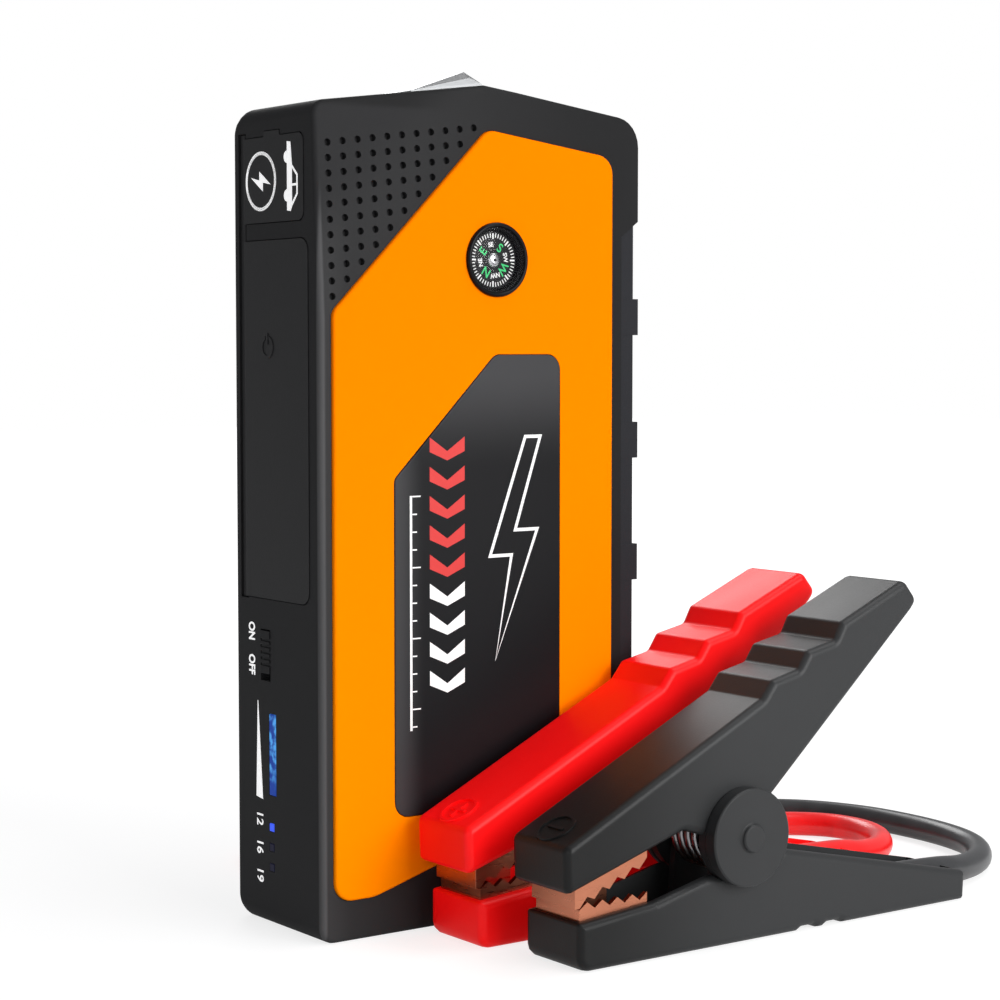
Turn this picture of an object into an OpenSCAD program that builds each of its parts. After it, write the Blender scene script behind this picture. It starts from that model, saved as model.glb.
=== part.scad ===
// Jump starter pack with a pair of battery clamps on short leads.
// The pack stands upright on its base: front face towards -Y, port side towards -X.
// Origin on the pack's base face, midway between its sides, +Z up, millimetres.

/* [Case] */
// Width of the case
case_w = 90; // [86:1:96]
// Depth of the case, without the raised panel
case_d = 37.5; // [36:0.5:40]
// Height of the case at its two sides
eave_h = 185.8; // [184:0.2:192]
// How far the roof's ridge stands above the sides
roof_rise = 5.9; // [4:0.1:8]
// Wall thickness of the case's sides
wall = 2.4; // [2.2:0.1:2.8]
// Thickness of the case's front wall
front_wall = 2.6; // [2.4:0.1:3]
// Corner radius of the case outline, port side
corner_r = 3.5; // [2.5:0.1:5]
// Corner radius of the case outline, flank side
flank_corner_r = 7; // [5:0.5:9]
// Radius along the front edges
front_edge_r = 1.2; // [0.8:0.1:2]
// Radius along the back's upright edges
back_edge_r = 1.5; // [1:0.1:2.5]
// Radius along the back's top edge
back_top_r = 5; // [4:0.1:5.4]
// Radius along the back's lower edge
back_low_r = 4; // [2.5:0.1:5]
// How far the front face falls back per millimetre, from the ridge towards the flank
face_fall = 0.018; // [0.01:0.001:0.022]
// How far the corner beside the panel's cut falls back per millimetre
corner_fall = 0.075; // [0.05:0.005:0.09]

/* [Back cover] */
// Width of the rim left round the back cover
rim_w = 6; // [5:0.1:6.5]
// Width of the ledge that the back cover rests on
ledge_w = 2; // [1.5:0.1:2.5]
// Thickness of the back cover
cover_t = 2.4; // [2:0.1:3]
// Gap round pieces that are let in
fit_gap = 0.15; // [0.1:0.01:0.25]
// Thickness of the ledge
ledge_t = 2.1; // [1.5:0.1:3]

/* [Flank grip] */
// Depth of the recess in the flank
flank_depth = 5.2; // [5:0.1:6.5]
// Lower end of the recess's floor
flank_low = 31; // [28:0.5:34]
// Distance from the roof's eave down to the recess's floor
flank_drop = 27.4; // [24:0.1:30]
// How far the recess's sloping ends run up and down
flank_end_rise = 3.8; // [2:0.1:5]
// Thickness of the rubber grip
grip_t = 4.2; // [3:0.1:4.5]
// How far the stop blocks stand out of the grip
stop_rise = 1.5; // [0.8:0.1:1.6]
// Length of a stop block
stop_len = 8.6; // [6:0.2:12]
// Distance from the recess's lower end to the centre of the first block
stop_from_low = 20.2; // [12:0.2:30]
// Distance from the recess's upper end to the centre of the last block
stop_from_high = 19; // [12:0.2:30]
// How far the rubber grip stays back from the case's front and back
grip_back = 1; // [1:0.1:3]

/* [Front panel] */
// How far the panel stands out of the front face
panel_rise = 1; // [0.6:0.1:1.4]
// Thickness of the panel
panel_t = 2; // [1.8:0.1:2.2]
// Distance from the case's port side to the panel
panel_side_gap = 3; // [2.5:0.1:5]
// Distance from the panel to the case's flank
panel_flank_gap = 9; // [8.5:0.1:11]
// Height of the panel's left lower corner
panel_low = 9.3; // [8:0.1:12]
// Distance from the roof's ridge down to the panel
panel_drop = 10.2; // [9.7:0.1:13.7]
// How far the cut corner's line meets the ridge line above the panel's top edge
panel_cut_rise = 0.4; // [-2:0.1:1.5]
// Radius of the panel's corners
panel_r = 4.5; // [3:0.1:5]
// Bevel along the panel's edge
panel_bevel = 0.7; // [0.3:0.1:0.9]

/* [Badge plate] */
// Distance from the panel's left edge to the badge plate
badge_from_left = 15.7; // [14:0.1:18]
// Distance from the badge plate to the panel's right edge
badge_from_right = 16; // [14:0.1:19]
// Distance from the panel's top at the ridge line down to the badge plate
badge_drop = 51; // [48:0.1:56]
// Distance from the panel's left lower corner up to the badge plate's
badge_lift = 17.3; // [15:0.1:21]
// How far below the badge plate's top its cut corner's line meets the ridge line
badge_cut_drop = 1.4; // [-1:0.1:5]
// Thickness of the badge plate
badge_t = 1.1; // [0.8:0.1:1.3]
// How far the badge plate stands out of the panel
badge_rise = 0.3; // [0.1:0.05:0.6]
// Radius of the badge plate's corners
badge_r = 3.6; // [2:0.1:4]

/* [Dimples] */
// Number of dimples in the first row
dimple_count = 11; // [7:1:11]
// Radius of a dimple
dimple_r = 0.8; // [0.5:0.05:1]
// Depth of a dimple
dimple_depth = 1.2; // [0.6:0.1:1.4]
// Distance between dimples along a row
dimple_step = 3.79; // [3.6:0.01:3.85]
// Distance between rows
dimple_row = 3.354; // [3:0.002:3.5]

/* [Compass] */
// Compass centre, along X
compass_x = 1.8; // [0:0.1:4]
// Distance from the panel's top at the ridge line down to the compass centre
compass_drop = 29.4; // [26:0.1:31]
// Radius of the compass bezel
bezel_r = 8.5; // [8:0.1:9]
// Radius of the compass cup
cup_r = 7.9; // [7.6:0.1:7.9]
// How far the bezel stands out of the panel
bezel_rise = 1; // [0.6:0.1:1.4]
// Depth of the cup behind the panel's face
cup_depth = 5.4; // [5:0.1:6]
// Radius of the turning card
card_r = 6.5; // [6:0.1:6.6]

/* [Window breaker] */
// Length of the breaker's base
breaker_w = 24.5; // [20:0.5:26]
// Depth of the breaker's base
breaker_d = 14; // [10:0.5:16]
// Height of the breaker's point above its seat
breaker_h = 6.6; // [5:0.1:8]
// Radius of the breaker's stem
stem_r = 2; // [1.5:0.1:2.5]

/* [Port side] */
// Height of the engine flap
flap_h = 19.1; // [18.8:0.1:20]
// Distance from the case's front to the engine flap
flap_in = 6.4; // [6:0.1:7]
// Height of the port cover
ports_h = 80.8; // [80:0.1:83]
// Distance from the case's front to the port cover
ports_in = 4.7; // [4.4:0.1:6]
// Thickness of the rubber covers
rubber_t = 1.3; // [1:0.05:1.3]
// How far the rubber covers stand out of the side
rubber_rise = 0.15; // [0:0.05:0.3]
// Distance of the covers' fold line from the back face
fold_in = 5.6; // [5.2:0.1:5.8]
// Distance from the board's face to the power button's centre line
button_off = 4; // [3.6:0.1:4.4]

/* [Switch and lights] */
// Length of the slide switch's slot
slot_len = 11.8; // [11:0.1:13]
// Width of the slide switch's slot
slot_w = 4.3; // [3.5:0.1:5]
// Length of the slide switch's knob
knob_len = 9.8; // [8:0.1:10]
// Length of the charge gauge's window
gauge_len = 18.6; // [14:0.1:20]
// Distance between the voltage lights
lights_step = 4.6; // [4:0.1:5.2]
// Height of a voltage light
light_h = 1.8; // [1.2:0.1:2.4]

/* [Battery] */
// Thickness of a battery cell
cell_t = 8.6; // [7:0.1:8.7]
// Free width between the cells and the flank
cell_side_gap = 6.5; // [2:0.5:15]
// Height of the free space above the cells, for the wires
cell_top_gap = 44.3; // [44:0.1:60]

/* [Clamps] */
// Width of a clamp's arms
arm_w = 20; // [18:0.2:20.4]
// Wall thickness of a clamp's arms
arm_wall = 2.2; // [1.8:0.1:2.4]
// Distance from the pack's front to the red clamp's centre line
red_off = 14; // [14:0.5:15]
// Distance between the clamps' centre lines
clamp_pitch = 28.5; // [28:0.5:31]
// How far the red clamp lies behind the black one, along X
red_shift = -5.4; // [-8:0.1:0]
// Radius along the arms' edges
arm_edge_r = 1.8; // [1:0.1:2]
// Length of a tooth of the jaws
tooth = 4.1; // [3:0.1:4.4]
// Height of a tooth
tooth_h = 1.5; // [1:0.1:1.8]
// Radius of the pivot caps
cap_r = 11; // [10.8:0.1:12]
// Thickness of the cap on the near side
cap_t = 3.6; // [1.6:0.1:4]
// Radius of the pivot pin
pin_r = 2.2; // [1.8:0.1:2.5]
// Running clearance round the pivot pin
pin_play = 0.05; // [0.03:0.01:0.08]
// Diameter of the spring's wire
wire_d = 1.8; // [1.4:0.1:1.8]
// Radius of the spring's coil, to the wire's centre
coil_r = 8; // [7.4:0.1:8.2]
// Distance from curl to curl
coil_pitch = 2.35; // [2.3:0.01:2.4]

/* [Leads] */
// Diameter of the leads
lead_d = 6.4; // [6:0.1:6.6]

/* [Hidden] */
$fn = 48;
eps = 0.01;
slim = 0.1;
roof_slope = roof_rise / (case_w / 2);
ridge_h = eave_h + roof_rise;
// The origin lies this far behind the case's front
front_y = -18;
back_y = front_y + case_d;
side_x = -case_w / 2;
front_in = front_y + front_wall;
seat_y = back_y - cover_t;
ledge_y = seat_y - ledge_t;
inner_x = side_x + wall;
panel_y = front_y - panel_rise;
badge_y = panel_y - badge_rise;
flank_x = case_w / 2 - flank_depth;
flank_high = eave_h - flank_drop;
panel_left = side_x + panel_side_gap;
panel_right = case_w / 2 - panel_flank_gap;
panel_top = ridge_h - panel_drop;
panel_cut = panel_top + panel_cut_rise;
badge_left = panel_left + badge_from_left;
badge_right = panel_right - badge_from_right;
badge_top = panel_top - badge_drop;
badge_low = panel_low + badge_lift;
badge_cut = badge_top - badge_cut_drop;
compass_z = panel_top - compass_drop;
pocket_t = rubber_t - rubber_rise + 0.25;
pocket_x = side_x + pocket_t;
mouth_x = pocket_x - 0.05;
fold_y = back_y - fold_in;
fold_x = side_x - rubber_rise + rubber_t / 2;
board_y = back_y - 11.5;
board_t = 1.6;
board_x = side_x + 3.5;
board_w = 18.3;
board_z = [6, eave_h - 4.8];

// Port side, from the roof down: the flap, the port cover, the slide switch, the charge
// gauge and the lights share out the height that they leave free in these parts
lights_h = 2 * lights_step + light_h;
free_parts = [6.6, 4, 7.1, 7.4, 6.5, 12.9];
free_part = (eave_h - flap_h - ports_h - slot_len - gauge_len - lights_h)
    / (free_parts * [1, 1, 1, 1, 1, 1]);
flap_high = eave_h - free_parts[0] * free_part;
flap_low = flap_high - flap_h;
ports_high = flap_low - free_parts[1] * free_part;
ports_low = ports_high - ports_h;
slot_high = ports_low - free_parts[2] * free_part;
switch_z = slot_high - slot_len / 2;
gauge_high = slot_high - slot_len - free_parts[3] * free_part;
gauge_z = gauge_high - gauge_len / 2;
lights_high = gauge_high - gauge_len - free_parts[4] * free_part;
lights_z = lights_high - lights_h / 2;
flap_front = front_y + flap_in;
ports_front = front_y + ports_in;
button_y = board_y - button_off;
slot_y = board_y - 2;

// Clamp outline, side view: tips towards -X, tails towards +X
pivot = [31.5, 24.3];
arm_in = arm_w / 2 - arm_wall;
ear_out = arm_in - 0.4;
ear_t = 1.8;
ear_r = 6.5;
upper_ear_r = 10.6;
ear_gap = 0.4;
floor_t = 2;
jaw_out = arm_in - 0.2;
jaw_t = 1.2;
ridge_run = 11.1;
ridge_climb = 5.8;
nose = [-17.4, 27.2];
heel = [86.5, 73.2];
upper_pts = [heel, heel + [-4.2, 5],
    for (i = [2:-1:0]) each [[41.1 + 10.6 * i, 58 + ridge_climb * i],
        [37.9 + ridge_run * i, 54 + ridge_climb * i]],
    nose, [nose.x + 0.4, 16.9], [15.5, 27.1], [21.5, 25.2], [40.2, 31.5],
    heel - [1.9, 2.2]];
upper_rs = [1.8, 1.8, for (i = [2:-1:0]) each [1.5, 1.5], 2, 1.2, 2, 0.5, 2, 1.8];
// The upper outline's three parts, each seen whole from one point
upper_parts = [[55, for (j = [0:12]) j],
    [for (j = [48:55]) j, for (j = [12:35]) j, for (j = [41:47]) j],
    [for (j = [35:41]) j]];
ceiling_a = [35, 50.6];
ceiling_b = [60.5, 62.2];
upper_hollow = [nose + [1.8, -32], heel + [-0.5, -78], heel + [-0.5, -4.7],
    heel + [-2.1, -2.9], heel + [-6, 1.7], [64, 66.4], ceiling_b, ceiling_a,
    nose + [1.8, -2.2]];
tip_x = -13.6;
tail_x = 103.6;
lower_pts = [[tip_x, 0], [49, 0], [50.5, 0.8], [54, 0.8], [55.5, 0], [57, 0], [58.5, 0.8],
    [62, 0.8], [63.5, 0], [tail_x - 0.2, 0], [tail_x + 0.2, 6.9],
    [45.1, 19.4], [21.3, 15.8], [7.1, 12.5], [tip_x, 10.6]];
lower_hollow_x = [tip_x + 1.2, tail_x - 2.2];
lower_rs = [2.9, for (i = [1:8]) 1, 0.8, 1, 3, 3, 4, 0.8];
// The lower outline's two parts, each seen whole from one point
lower_parts = [[4, for (j = [44:59]) j, for (j = [0:3]) j], [44, for (j = [4:43]) j]];
lead_in_z = 6.4;
lead_out_z = 5.4;
crimp_x = 60;
crimp_len = 8;
far_cap_t = 1.5;
hub_r = 3.1;
hub_t = 1;

// Plug at the leads' far end: from the leads' side to the contacts' side
plug_x = [28, 54];
plug_y = 73.3;
plug_z = 5.6;
plug_half = 5.3;
red_y = front_y - red_off;
black_y = red_y - clamp_pitch;

// Routes of the leads' centre lines, from the crimp to the plug
black_route = [[61, black_y, 6.4], [68, black_y, 6.4], [76, black_y, 6.3],
    [90, black_y, 5.9], [104, black_y, 5.4], [116, -57.5, 3.9], [129, -51, 3.3], [138.5, -41, 3.3],
    [143.5, -28, 3.3], [145, -12, 3.3], [143, 5, 3.3], [135, 21, 3.3], [119, 33, 3.3],
    [96, 39, 3.3], [68, 40.5, 3.3], [42, 40, 3.3], [20, 40, 3.3], [10, 44, 3.3],
    [6, 54, 3.3], [10, 64, 3.6], [20, 68, 5], [29, 68, 5.6], [34, 68, 5.6]];
red_route = [[55.6, red_y, 6.4], [62.6, red_y, 6.4], [70.6, red_y, 6.3],
    [84.6, red_y, 5.9], [98.6, red_y, 5.4], [109, -30.5, 3.9], [119, -26, 3.3], [126.5, -18, 3.3],
    [129.5, -8, 3.3], [127.5, 2, 3.3], [119.5, 10.5, 3.3], [106, 17, 3.3],
    [86, 22, 3.3], [60, 26, 3.3], [32, 28, 3.3], [8, 28.2, 3.3], [-9, 35, 3.3],
    [-16.5, 53, 3.3], [-9, 71, 3.3], [8, 78, 3.8], [20, 78.6, 5.1], [29, 78.6, 5.6],
    [34, 78.6, 5.6]];

// ---------- outline helpers ----------

function unit(v) = v / norm(v);

function between(a, b, share) = a + (b - a) * share;

// Arc that rounds corner b between edges a-b and b-c
function fillet(a, b, c, r, n) =
    let (u = unit(a - b),
        w = unit(c - b),
        half = acos(max(-1, min(1, u * w))) / 2,
        m = b + unit(u + w) * r / sin(half),
        p = b + u * r / tan(half) - m,
        q = b + w * r / tan(half) - m,
        a0 = atan2(p.y, p.x),
        d = atan2(q.y, q.x) - a0,
        sweep_a = d > 180 ? d - 360 : d < -180 ? d + 360 : d)
    [for (i = [0:n]) m + r * [cos(a0 + sweep_a * i / n), sin(a0 + sweep_a * i / n)]];

// Outline with each corner rounded by its own radius
function rounded(pts, rs, n = 6) =
    let (k = len(pts))
    [for (i = [0:k - 1]) each fillet(pts[(i + k - 1) % k], pts[i], pts[(i + 1) % k], rs[i], n)];

// Corners of a counter-clockwise outline, moved inwards by d
function inset(pts, d) =
    let (k = len(pts))
    [for (i = [0:k - 1])
        let (e = unit(pts[i] - pts[(i + k - 1) % k]),
            f = unit(pts[(i + 1) % k] - pts[i]),
            n1 = [-e.y, e.x],
            n2 = [-f.y, f.x])
        pts[i] + d * (n1 + n2) / (1 + n1 * n2)];

// Radii that keep an inset outline parallel to the first one
function inset_rs(pts, rs, d) =
    let (k = len(pts))
    [for (i = [0:k - 1])
        cross(pts[i] - pts[(i + k - 1) % k], pts[(i + 1) % k] - pts[i]) > 0
            ? max(0.2, rs[i] - d) : rs[i] + d];

function rounded_inset(pts, rs, d, n = 6) = rounded(inset(pts, d), inset_rs(pts, rs, d), n);

// Outline points set upright at depth y
function upright(pts, y) = [for (p = pts) [p.x, y, p.y]];

// Closed solid through rings that run towards +Y or along a tube. Its end faces may
// be in parts: lists of point numbers, each seen whole from its first point.
module loft(rings, parts = []) {
    k = len(rings[0]);
    m = len(rings);
    ends = len(parts) > 0 ? parts : [[for (j = [0:k - 1]) j]];
    polyhedron(
        points = [for (r = rings) each r],
        faces = [
            for (e = ends) [e[0], for (i = [len(e) - 1:-1:1]) e[i]],
            for (e = ends) [for (j = e) (m - 1) * k + j],
            for (i = [0:m - 2], j = [0:k - 1]) each [
                [i * k + j, i * k + (j + 1) % k, (i + 1) * k + (j + 1) % k],
                [i * k + j, (i + 1) * k + (j + 1) % k, (i + 1) * k + j]]]);
}

// Solid between depths y0 and y1 of an upright outline
module front_slab(y0, y1) {
    translate([0, y1, 0]) rotate([90, 0, 0]) linear_extrude(y1 - y0) children();
}

// Solid between x0 and x1 of an outline drawn in Y and Z
module side_slab(x0, x1) {
    translate([x0, 0, 0]) rotate([90, 0, 90]) linear_extrude(x1 - x0) children();
}

module rod_x(x0, x1, r) {
    translate([x0, 0, 0]) rotate([0, 90, 0]) cylinder(h = x1 - x0, r = r);
}

module rod_y(y0, y1, r) {
    translate([0, y0, 0]) rotate([-90, 0, 0]) cylinder(h = y1 - y0, r = r);
}

module block(lo, hi) {
    translate(lo) cube(hi - lo);
}

// ---------- tubes along a route ----------

// Catmull-Rom points along a route, n steps to each stretch
function smooth_route(p, n) =
    let (k = len(p))
    [for (i = [0:k - 2], s = [0:n - 1])
        let (t = s / n,
            a = p[max(0, i - 1)],
            b = p[i],
            c = p[i + 1],
            d = p[min(k - 1, i + 2)])
        0.5 * (2 * b + (c - a) * t + (2 * a - 5 * b + 4 * c - d) * t * t
            + (3 * b - 3 * c + d - a) * t * t * t),
        p[k - 1]];

function tube_rings(p, r, sides, ref) =
    let (k = len(p))
    [for (i = [0:k - 1])
        let (t = unit(p[min(k - 1, i + 1)] - p[max(0, i - 1)]),
            s = unit(cross(t, ref)),
            n = cross(s, t))
        [for (j = [0:sides - 1])
            p[i] + r * (cos(360 * j / sides) * s + sin(360 * j / sides) * n)]];

module tube(p, r, sides, ref = [0, 0, 1]) {
    loft(tube_rings(p, r, sides, ref));
}

// ---------- case ----------

case_pts = [[side_x, 0], [-side_x, 0], [-side_x, eave_h], [0, ridge_h], [side_x, eave_h]];
case_rs = [corner_r, flank_corner_r, flank_corner_r, corner_r, corner_r];
// The case's outline with the flank's recess taken out
hull_pts = [[side_x, 0], [-side_x, 0], [-side_x, flank_low - flank_end_rise],
    [flank_x, flank_low], [flank_x, flank_high], [-side_x, flank_high + flank_end_rise],
    [-side_x, eave_h], [0, ridge_h], [side_x, eave_h]];
hull_rs = [corner_r, flank_corner_r, 0.3, 0.3, 0.3, 0.3, flank_corner_r, corner_r, corner_r];

// How far the front's upper corner has fallen back at a point
function fall(p) = corner_fall * max(0, p.y - p.x - panel_cut) / sqrt(2);

// Outline of the case at depth y, drawn in at its sides, base and roof, with a point
// on each edge that the line crosses where the corner's fall begins
function case_ring(y, side, low, top, falls) =
    let (x = side_x + side,
        roof = ridge_h - top,
        pts = rounded([[x, low], [-x, low], [-x, roof + roof_slope * x], [0, roof],
            [x, roof + roof_slope * x]], [for (r = case_rs) max(0.4, r - side)]),
        cross_x = (roof - panel_cut) / (1 + roof_slope))
    [for (p = [for (i = [0:20]) pts[i], [cross_x, cross_x + panel_cut],
        for (i = [21:34]) pts[i], [x, x + panel_cut]])
        [p.x, y + (falls ? fall(p) : 0), p.y]];

// How far an edge of radius r has drawn in at depth y, towards the back
function drawn_in(y, r) =
    y > back_y - r ? r - sqrt(max(0, r * r - pow(y - back_y + r, 2))) : 0;

module case_block() {
    loft([
        for (a = [0:30:90]) let (d = front_edge_r * (1 - sin(a)))
            case_ring(front_y + front_edge_r * (1 - cos(a)), d, d, d, true),
        for (a = [0:15:90]) let (y = back_y - back_top_r * (1 - sin(a)))
            case_ring(y, drawn_in(y, back_edge_r), drawn_in(y, back_low_r),
                drawn_in(y, back_top_r), false)],
        [[for (j = [21:36]) j], [for (j = [0:21]) j, 36]]);
}

// Keeps the front wall's thickness behind the corner that falls back
module corner_wall() {
    translate([panel_left, 0, panel_cut + panel_left]) rotate([0, -45, 0])
        side_slab(-20, 80) polygon([[front_in - 1, 0], [front_in, 0],
            [front_in + 60 * corner_fall, 60], [front_in - 1, 60]]);
}

// Screw places on the back cover, x and z
breaker_x = -1.2;
cover_screws = [[side_x + 26, 10], [flank_x - 12.9, 10], [breaker_x - 8.8, eave_h - 6.8],
    [flank_x - 12.9, eave_h - 17.8]];
board_screws = [[board_x + 15.9, board_z[0] + 14], [board_x + 15.9, board_z[1] - 29]];
boss_r = 2.8;
post_r = 2.3;
screw_r = 1.1;
head_r = 2.5;
head_t = 1.3;
board_head_r = 1.9;

module dimples() {
    for (i = [0:dimple_count - 1], j = [0:dimple_count - 1 - i])
        let (p = [side_x + 3.4 + dimple_step * j,
            eave_h - 9 + roof_slope * dimple_step * j - dimple_row * i])
            translate([p.x, front_y + fall(p), p.y]) rod_y(-0.3, dimple_depth, dimple_r);
}

panel_pts = [[panel_left, panel_low], [panel_left + 10.5, panel_low],
    [panel_right, panel_low + 0.295 * (panel_right - panel_left - 10.5)],
    [panel_right, panel_top - roof_slope * panel_right],
    [(panel_top - panel_cut) / (1 + roof_slope),
        panel_top - roof_slope * (panel_top - panel_cut) / (1 + roof_slope)],
    [panel_left, panel_cut + panel_left]];
panel_rs = [panel_r, 12, panel_r, panel_r, panel_r, 3];

badge_pts = [[badge_left, badge_low], [badge_left + 8, badge_low],
    [badge_right, badge_low + 0.295 * (badge_right - badge_left - 8)],
    [badge_right, badge_top], [badge_top - badge_cut, badge_top],
    [badge_left, badge_cut + badge_left]];
badge_rs = [badge_r, 8, badge_r, badge_r, badge_r, 2.5];

// Outline of a rubber cover in Y and Z, grown by g all round but at the fold
module cover_outline(lo, hi, front, g, r) {
    polygon(rounded([[front - g, lo - g], [fold_y, lo - g], [fold_y, hi + g],
        [front - g, hi + g]], [r, 0.05, 0.05, r]));
}

// Pull tab on the engine flap's upper edge
tab_half = 3.9;
tab_h = 1.2;
module flap_tab(g) {
    translate([(flap_front + fold_y) / 2 + 0.7, flap_high])
        polygon([[-tab_half - g, -1], [tab_half + g, -1],
            [tab_half - 0.8 + g, tab_h + g], [0.8 - tab_half - g, tab_h + g]]);
}

strip_y = [fold_y + 0.75, fold_y + 2.85];
strip_z = [ports_low - 0.5, flap_high + tab_h + 0.1];
strip_depth = 1.9;

module fold_rod(lo, hi, r) {
    translate([fold_x, fold_y, lo]) cylinder(h = hi - lo, r = r);
}

usb_z = [ports_high - 38.1, ports_high - 52.1];
usb_w = 13.2;
usb_h = 5.8;
usb_y = board_y - usb_h / 2;
jack_r = 3.6;
jack_y = board_y - 4.4;
output_z = ports_high - 10.1;
input_z = ports_low + 9.7;
button_z = ports_high - 23.9;
button_r = 3.2;
socket_w = 18;
socket_h = 10.8;
socket_y = board_y - socket_h / 2;
socket_z = (flap_low + flap_high) / 2;
gauge_y = [board_y - 6.35, board_y - 3.45];
light_y = [board_y - 5.4, board_y - 3.4];
breaker_seat = ridge_h - roof_slope * (breaker_w / 2 - breaker_x) - 0.6;

module side_holes() {
    // charge gauge and voltage lights
    block([side_x - 1, gauge_y[0] - slim, gauge_z - gauge_len / 2 - slim],
        [inner_x + 1, gauge_y[1] + slim, gauge_z + gauge_len / 2 + slim]);
    for (i = [-1:1])
        block([side_x - 1, light_y[0] - slim,
            lights_z + i * lights_step - light_h / 2 - slim],
            [inner_x + 1, light_y[1] + slim,
            lights_z + i * lights_step + light_h / 2 + slim]);
    // slide switch
    block([side_x - 1, slot_y - slot_w / 2, slot_high - slot_len],
        [inner_x + 1, slot_y + slot_w / 2, slot_high]);
    // power button, jacks, USB and engine sockets
    translate([0, button_y, button_z]) rod_x(side_x - 1, inner_x + 1, button_r + slim);
    for (z = [output_z, input_z])
        translate([0, jack_y, z]) rod_x(side_x - 1, inner_x + 1, jack_r + slim);
    for (z = usb_z)
        block([side_x - 1, usb_y - usb_h / 2 - slim, z - usb_w / 2 - slim],
            [inner_x + 1, usb_y + usb_h / 2 + slim, z + usb_w / 2 + slim]);
    block([side_x - 1, socket_y - socket_h / 2 - slim, socket_z - socket_w / 2 - slim],
        [inner_x + 1, socket_y + socket_h / 2 + slim, socket_z + socket_w / 2 + slim]);
}

// Side view of the flank's recess with its sloping ends, drawn in by g
module recess(g) {
    polygon([[flank_x, flank_low + g], [flank_x + 2 * flank_depth,
        flank_low + g - 2 * flank_end_rise], [flank_x + 2 * flank_depth,
        flank_high - g + 2 * flank_end_rise], [flank_x, flank_high - g]]);
}

module case_shell() color("#39393b") difference() {
    union() {
        difference() {
            case_block();
            front_slab(front_y - 1, back_y + 1) recess(0);
            // front face falls back from the ridge line towards the flank
            translate([0, 0, -1]) linear_extrude(ridge_h + 2)
                polygon([[0, front_y], [0, front_y - 2], [case_w, front_y - 2],
                    [case_w, front_y + face_fall * case_w]]);
            // inside, ledge and back opening
            difference() {
                front_slab(front_in, ledge_y)
                    polygon(rounded_inset(hull_pts, hull_rs, wall));
                corner_wall();
            }
            front_slab(ledge_y - eps, seat_y)
                polygon(rounded_inset(hull_pts, hull_rs, rim_w + ledge_w));
            front_slab(seat_y - eps, back_y + 1)
                polygon(rounded_inset(hull_pts, hull_rs, rim_w));
        }
        for (s = cover_screws)
            translate([s.x, 0, s.y]) rod_y(front_in - eps, seat_y, boss_r);
        for (s = board_screws)
            translate([s.x, 0, s.y]) rod_y(front_in - eps, board_y, post_r);
    }
    for (s = cover_screws)
        translate([s.x, 0, s.y]) rod_y(seat_y - 10, seat_y + 1, screw_r + pin_play);
    for (s = board_screws)
        translate([s.x, 0, s.y]) rod_y(board_y - 8, board_y + 1, screw_r + pin_play);
    dimples();
    // seat of the front panel and hole for the compass
    front_slab(front_y - 1, panel_y + panel_t)
        polygon(rounded_inset(panel_pts, panel_rs, -fit_gap));
    translate([compass_x, 0, compass_z]) rod_y(front_y - 1, front_in + 1, cup_r + slim);
    // seats of the rubber covers and of their strip
    side_slab(side_x - 1, pocket_x) {
        cover_outline(flap_low, flap_high, flap_front, 0.2, 2);
        flap_tab(0.2);
        cover_outline(ports_low, ports_high, ports_front, 0.2, 3);
    }
    fold_rod(strip_z[0], strip_z[1], 0.75);
    block([side_x - 1, fold_y, strip_z[0]], [pocket_x, strip_y[0] + eps, strip_z[1]]);
    block([side_x - 1, strip_y[0], strip_z[0]],
        [side_x + strip_depth, strip_y[1], strip_z[1]]);
    side_holes();
    // seat and stem hole of the window breaker
    block([breaker_x - breaker_w / 2 - slim, -breaker_d / 2 - slim, breaker_seat],
        [breaker_x + breaker_w / 2 + slim, breaker_d / 2 + slim, ridge_h + 1]);
    translate([breaker_x, 0, 0]) translate([0, 0, eave_h - 12])
        cylinder(h = 30, r = stem_r + pin_play);
}

module rear_cover() color("#2b2b2d") difference() {
    front_slab(seat_y, back_y - 0.2)
        polygon(rounded_inset(hull_pts, hull_rs, rim_w + fit_gap));
    for (s = cover_screws) {
        translate([s.x, 0, s.y]) rod_y(seat_y - 1, back_y + 1, screw_r + 0.2);
        translate([s.x, 0, s.y]) rod_y(back_y - 0.2 - head_t, back_y + 1, head_r + slim);
    }
}

module case_screw(i) color("#8d9094")
    translate([cover_screws[i].x, 0, cover_screws[i].y]) {
        rod_y(seat_y - 8, back_y - 0.2 - head_t + eps, screw_r);
        difference() {
            rod_y(back_y - 0.2 - head_t, back_y - 0.3, head_r);
            for (a = [0, 90]) rotate([0, a, 0])
                block([-1.4, back_y - 0.9, -0.3], [1.4, back_y, 0.3]);
        }
    }
module case_screw_1() case_screw(0);
module case_screw_2() case_screw(1);
module case_screw_3() case_screw(2);
module case_screw_4() case_screw(3);

grip_corner_r = 0.8;
// Plan outline of the rubber grip, out to x1 and back from the case's faces
module grip_plan(x1, back) {
    polygon(rounded([[flank_x, front_y + back], [x1, front_y + back], [x1, back_y - back],
        [flank_x, back_y - back]], [0.1, grip_corner_r, grip_corner_r, 0.1]));
}

stop_z = [flank_low + stop_from_low, flank_high - stop_from_high];
module side_grip() color("#26282c") {
    intersection() {
        translate([0, 0, flank_low - flank_end_rise])
            linear_extrude(flank_high - flank_low + 2 * flank_end_rise)
                grip_plan(flank_x + grip_t, grip_back);
        front_slab(front_y, back_y) recess(slim);
    }
    for (s = [0:1 / 3:1])
        translate([0, 0, between(stop_z[0], stop_z[1], s) - stop_len / 2])
            linear_extrude(stop_len)
                grip_plan(flank_x + grip_t + stop_rise, grip_back - slim);
}

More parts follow.
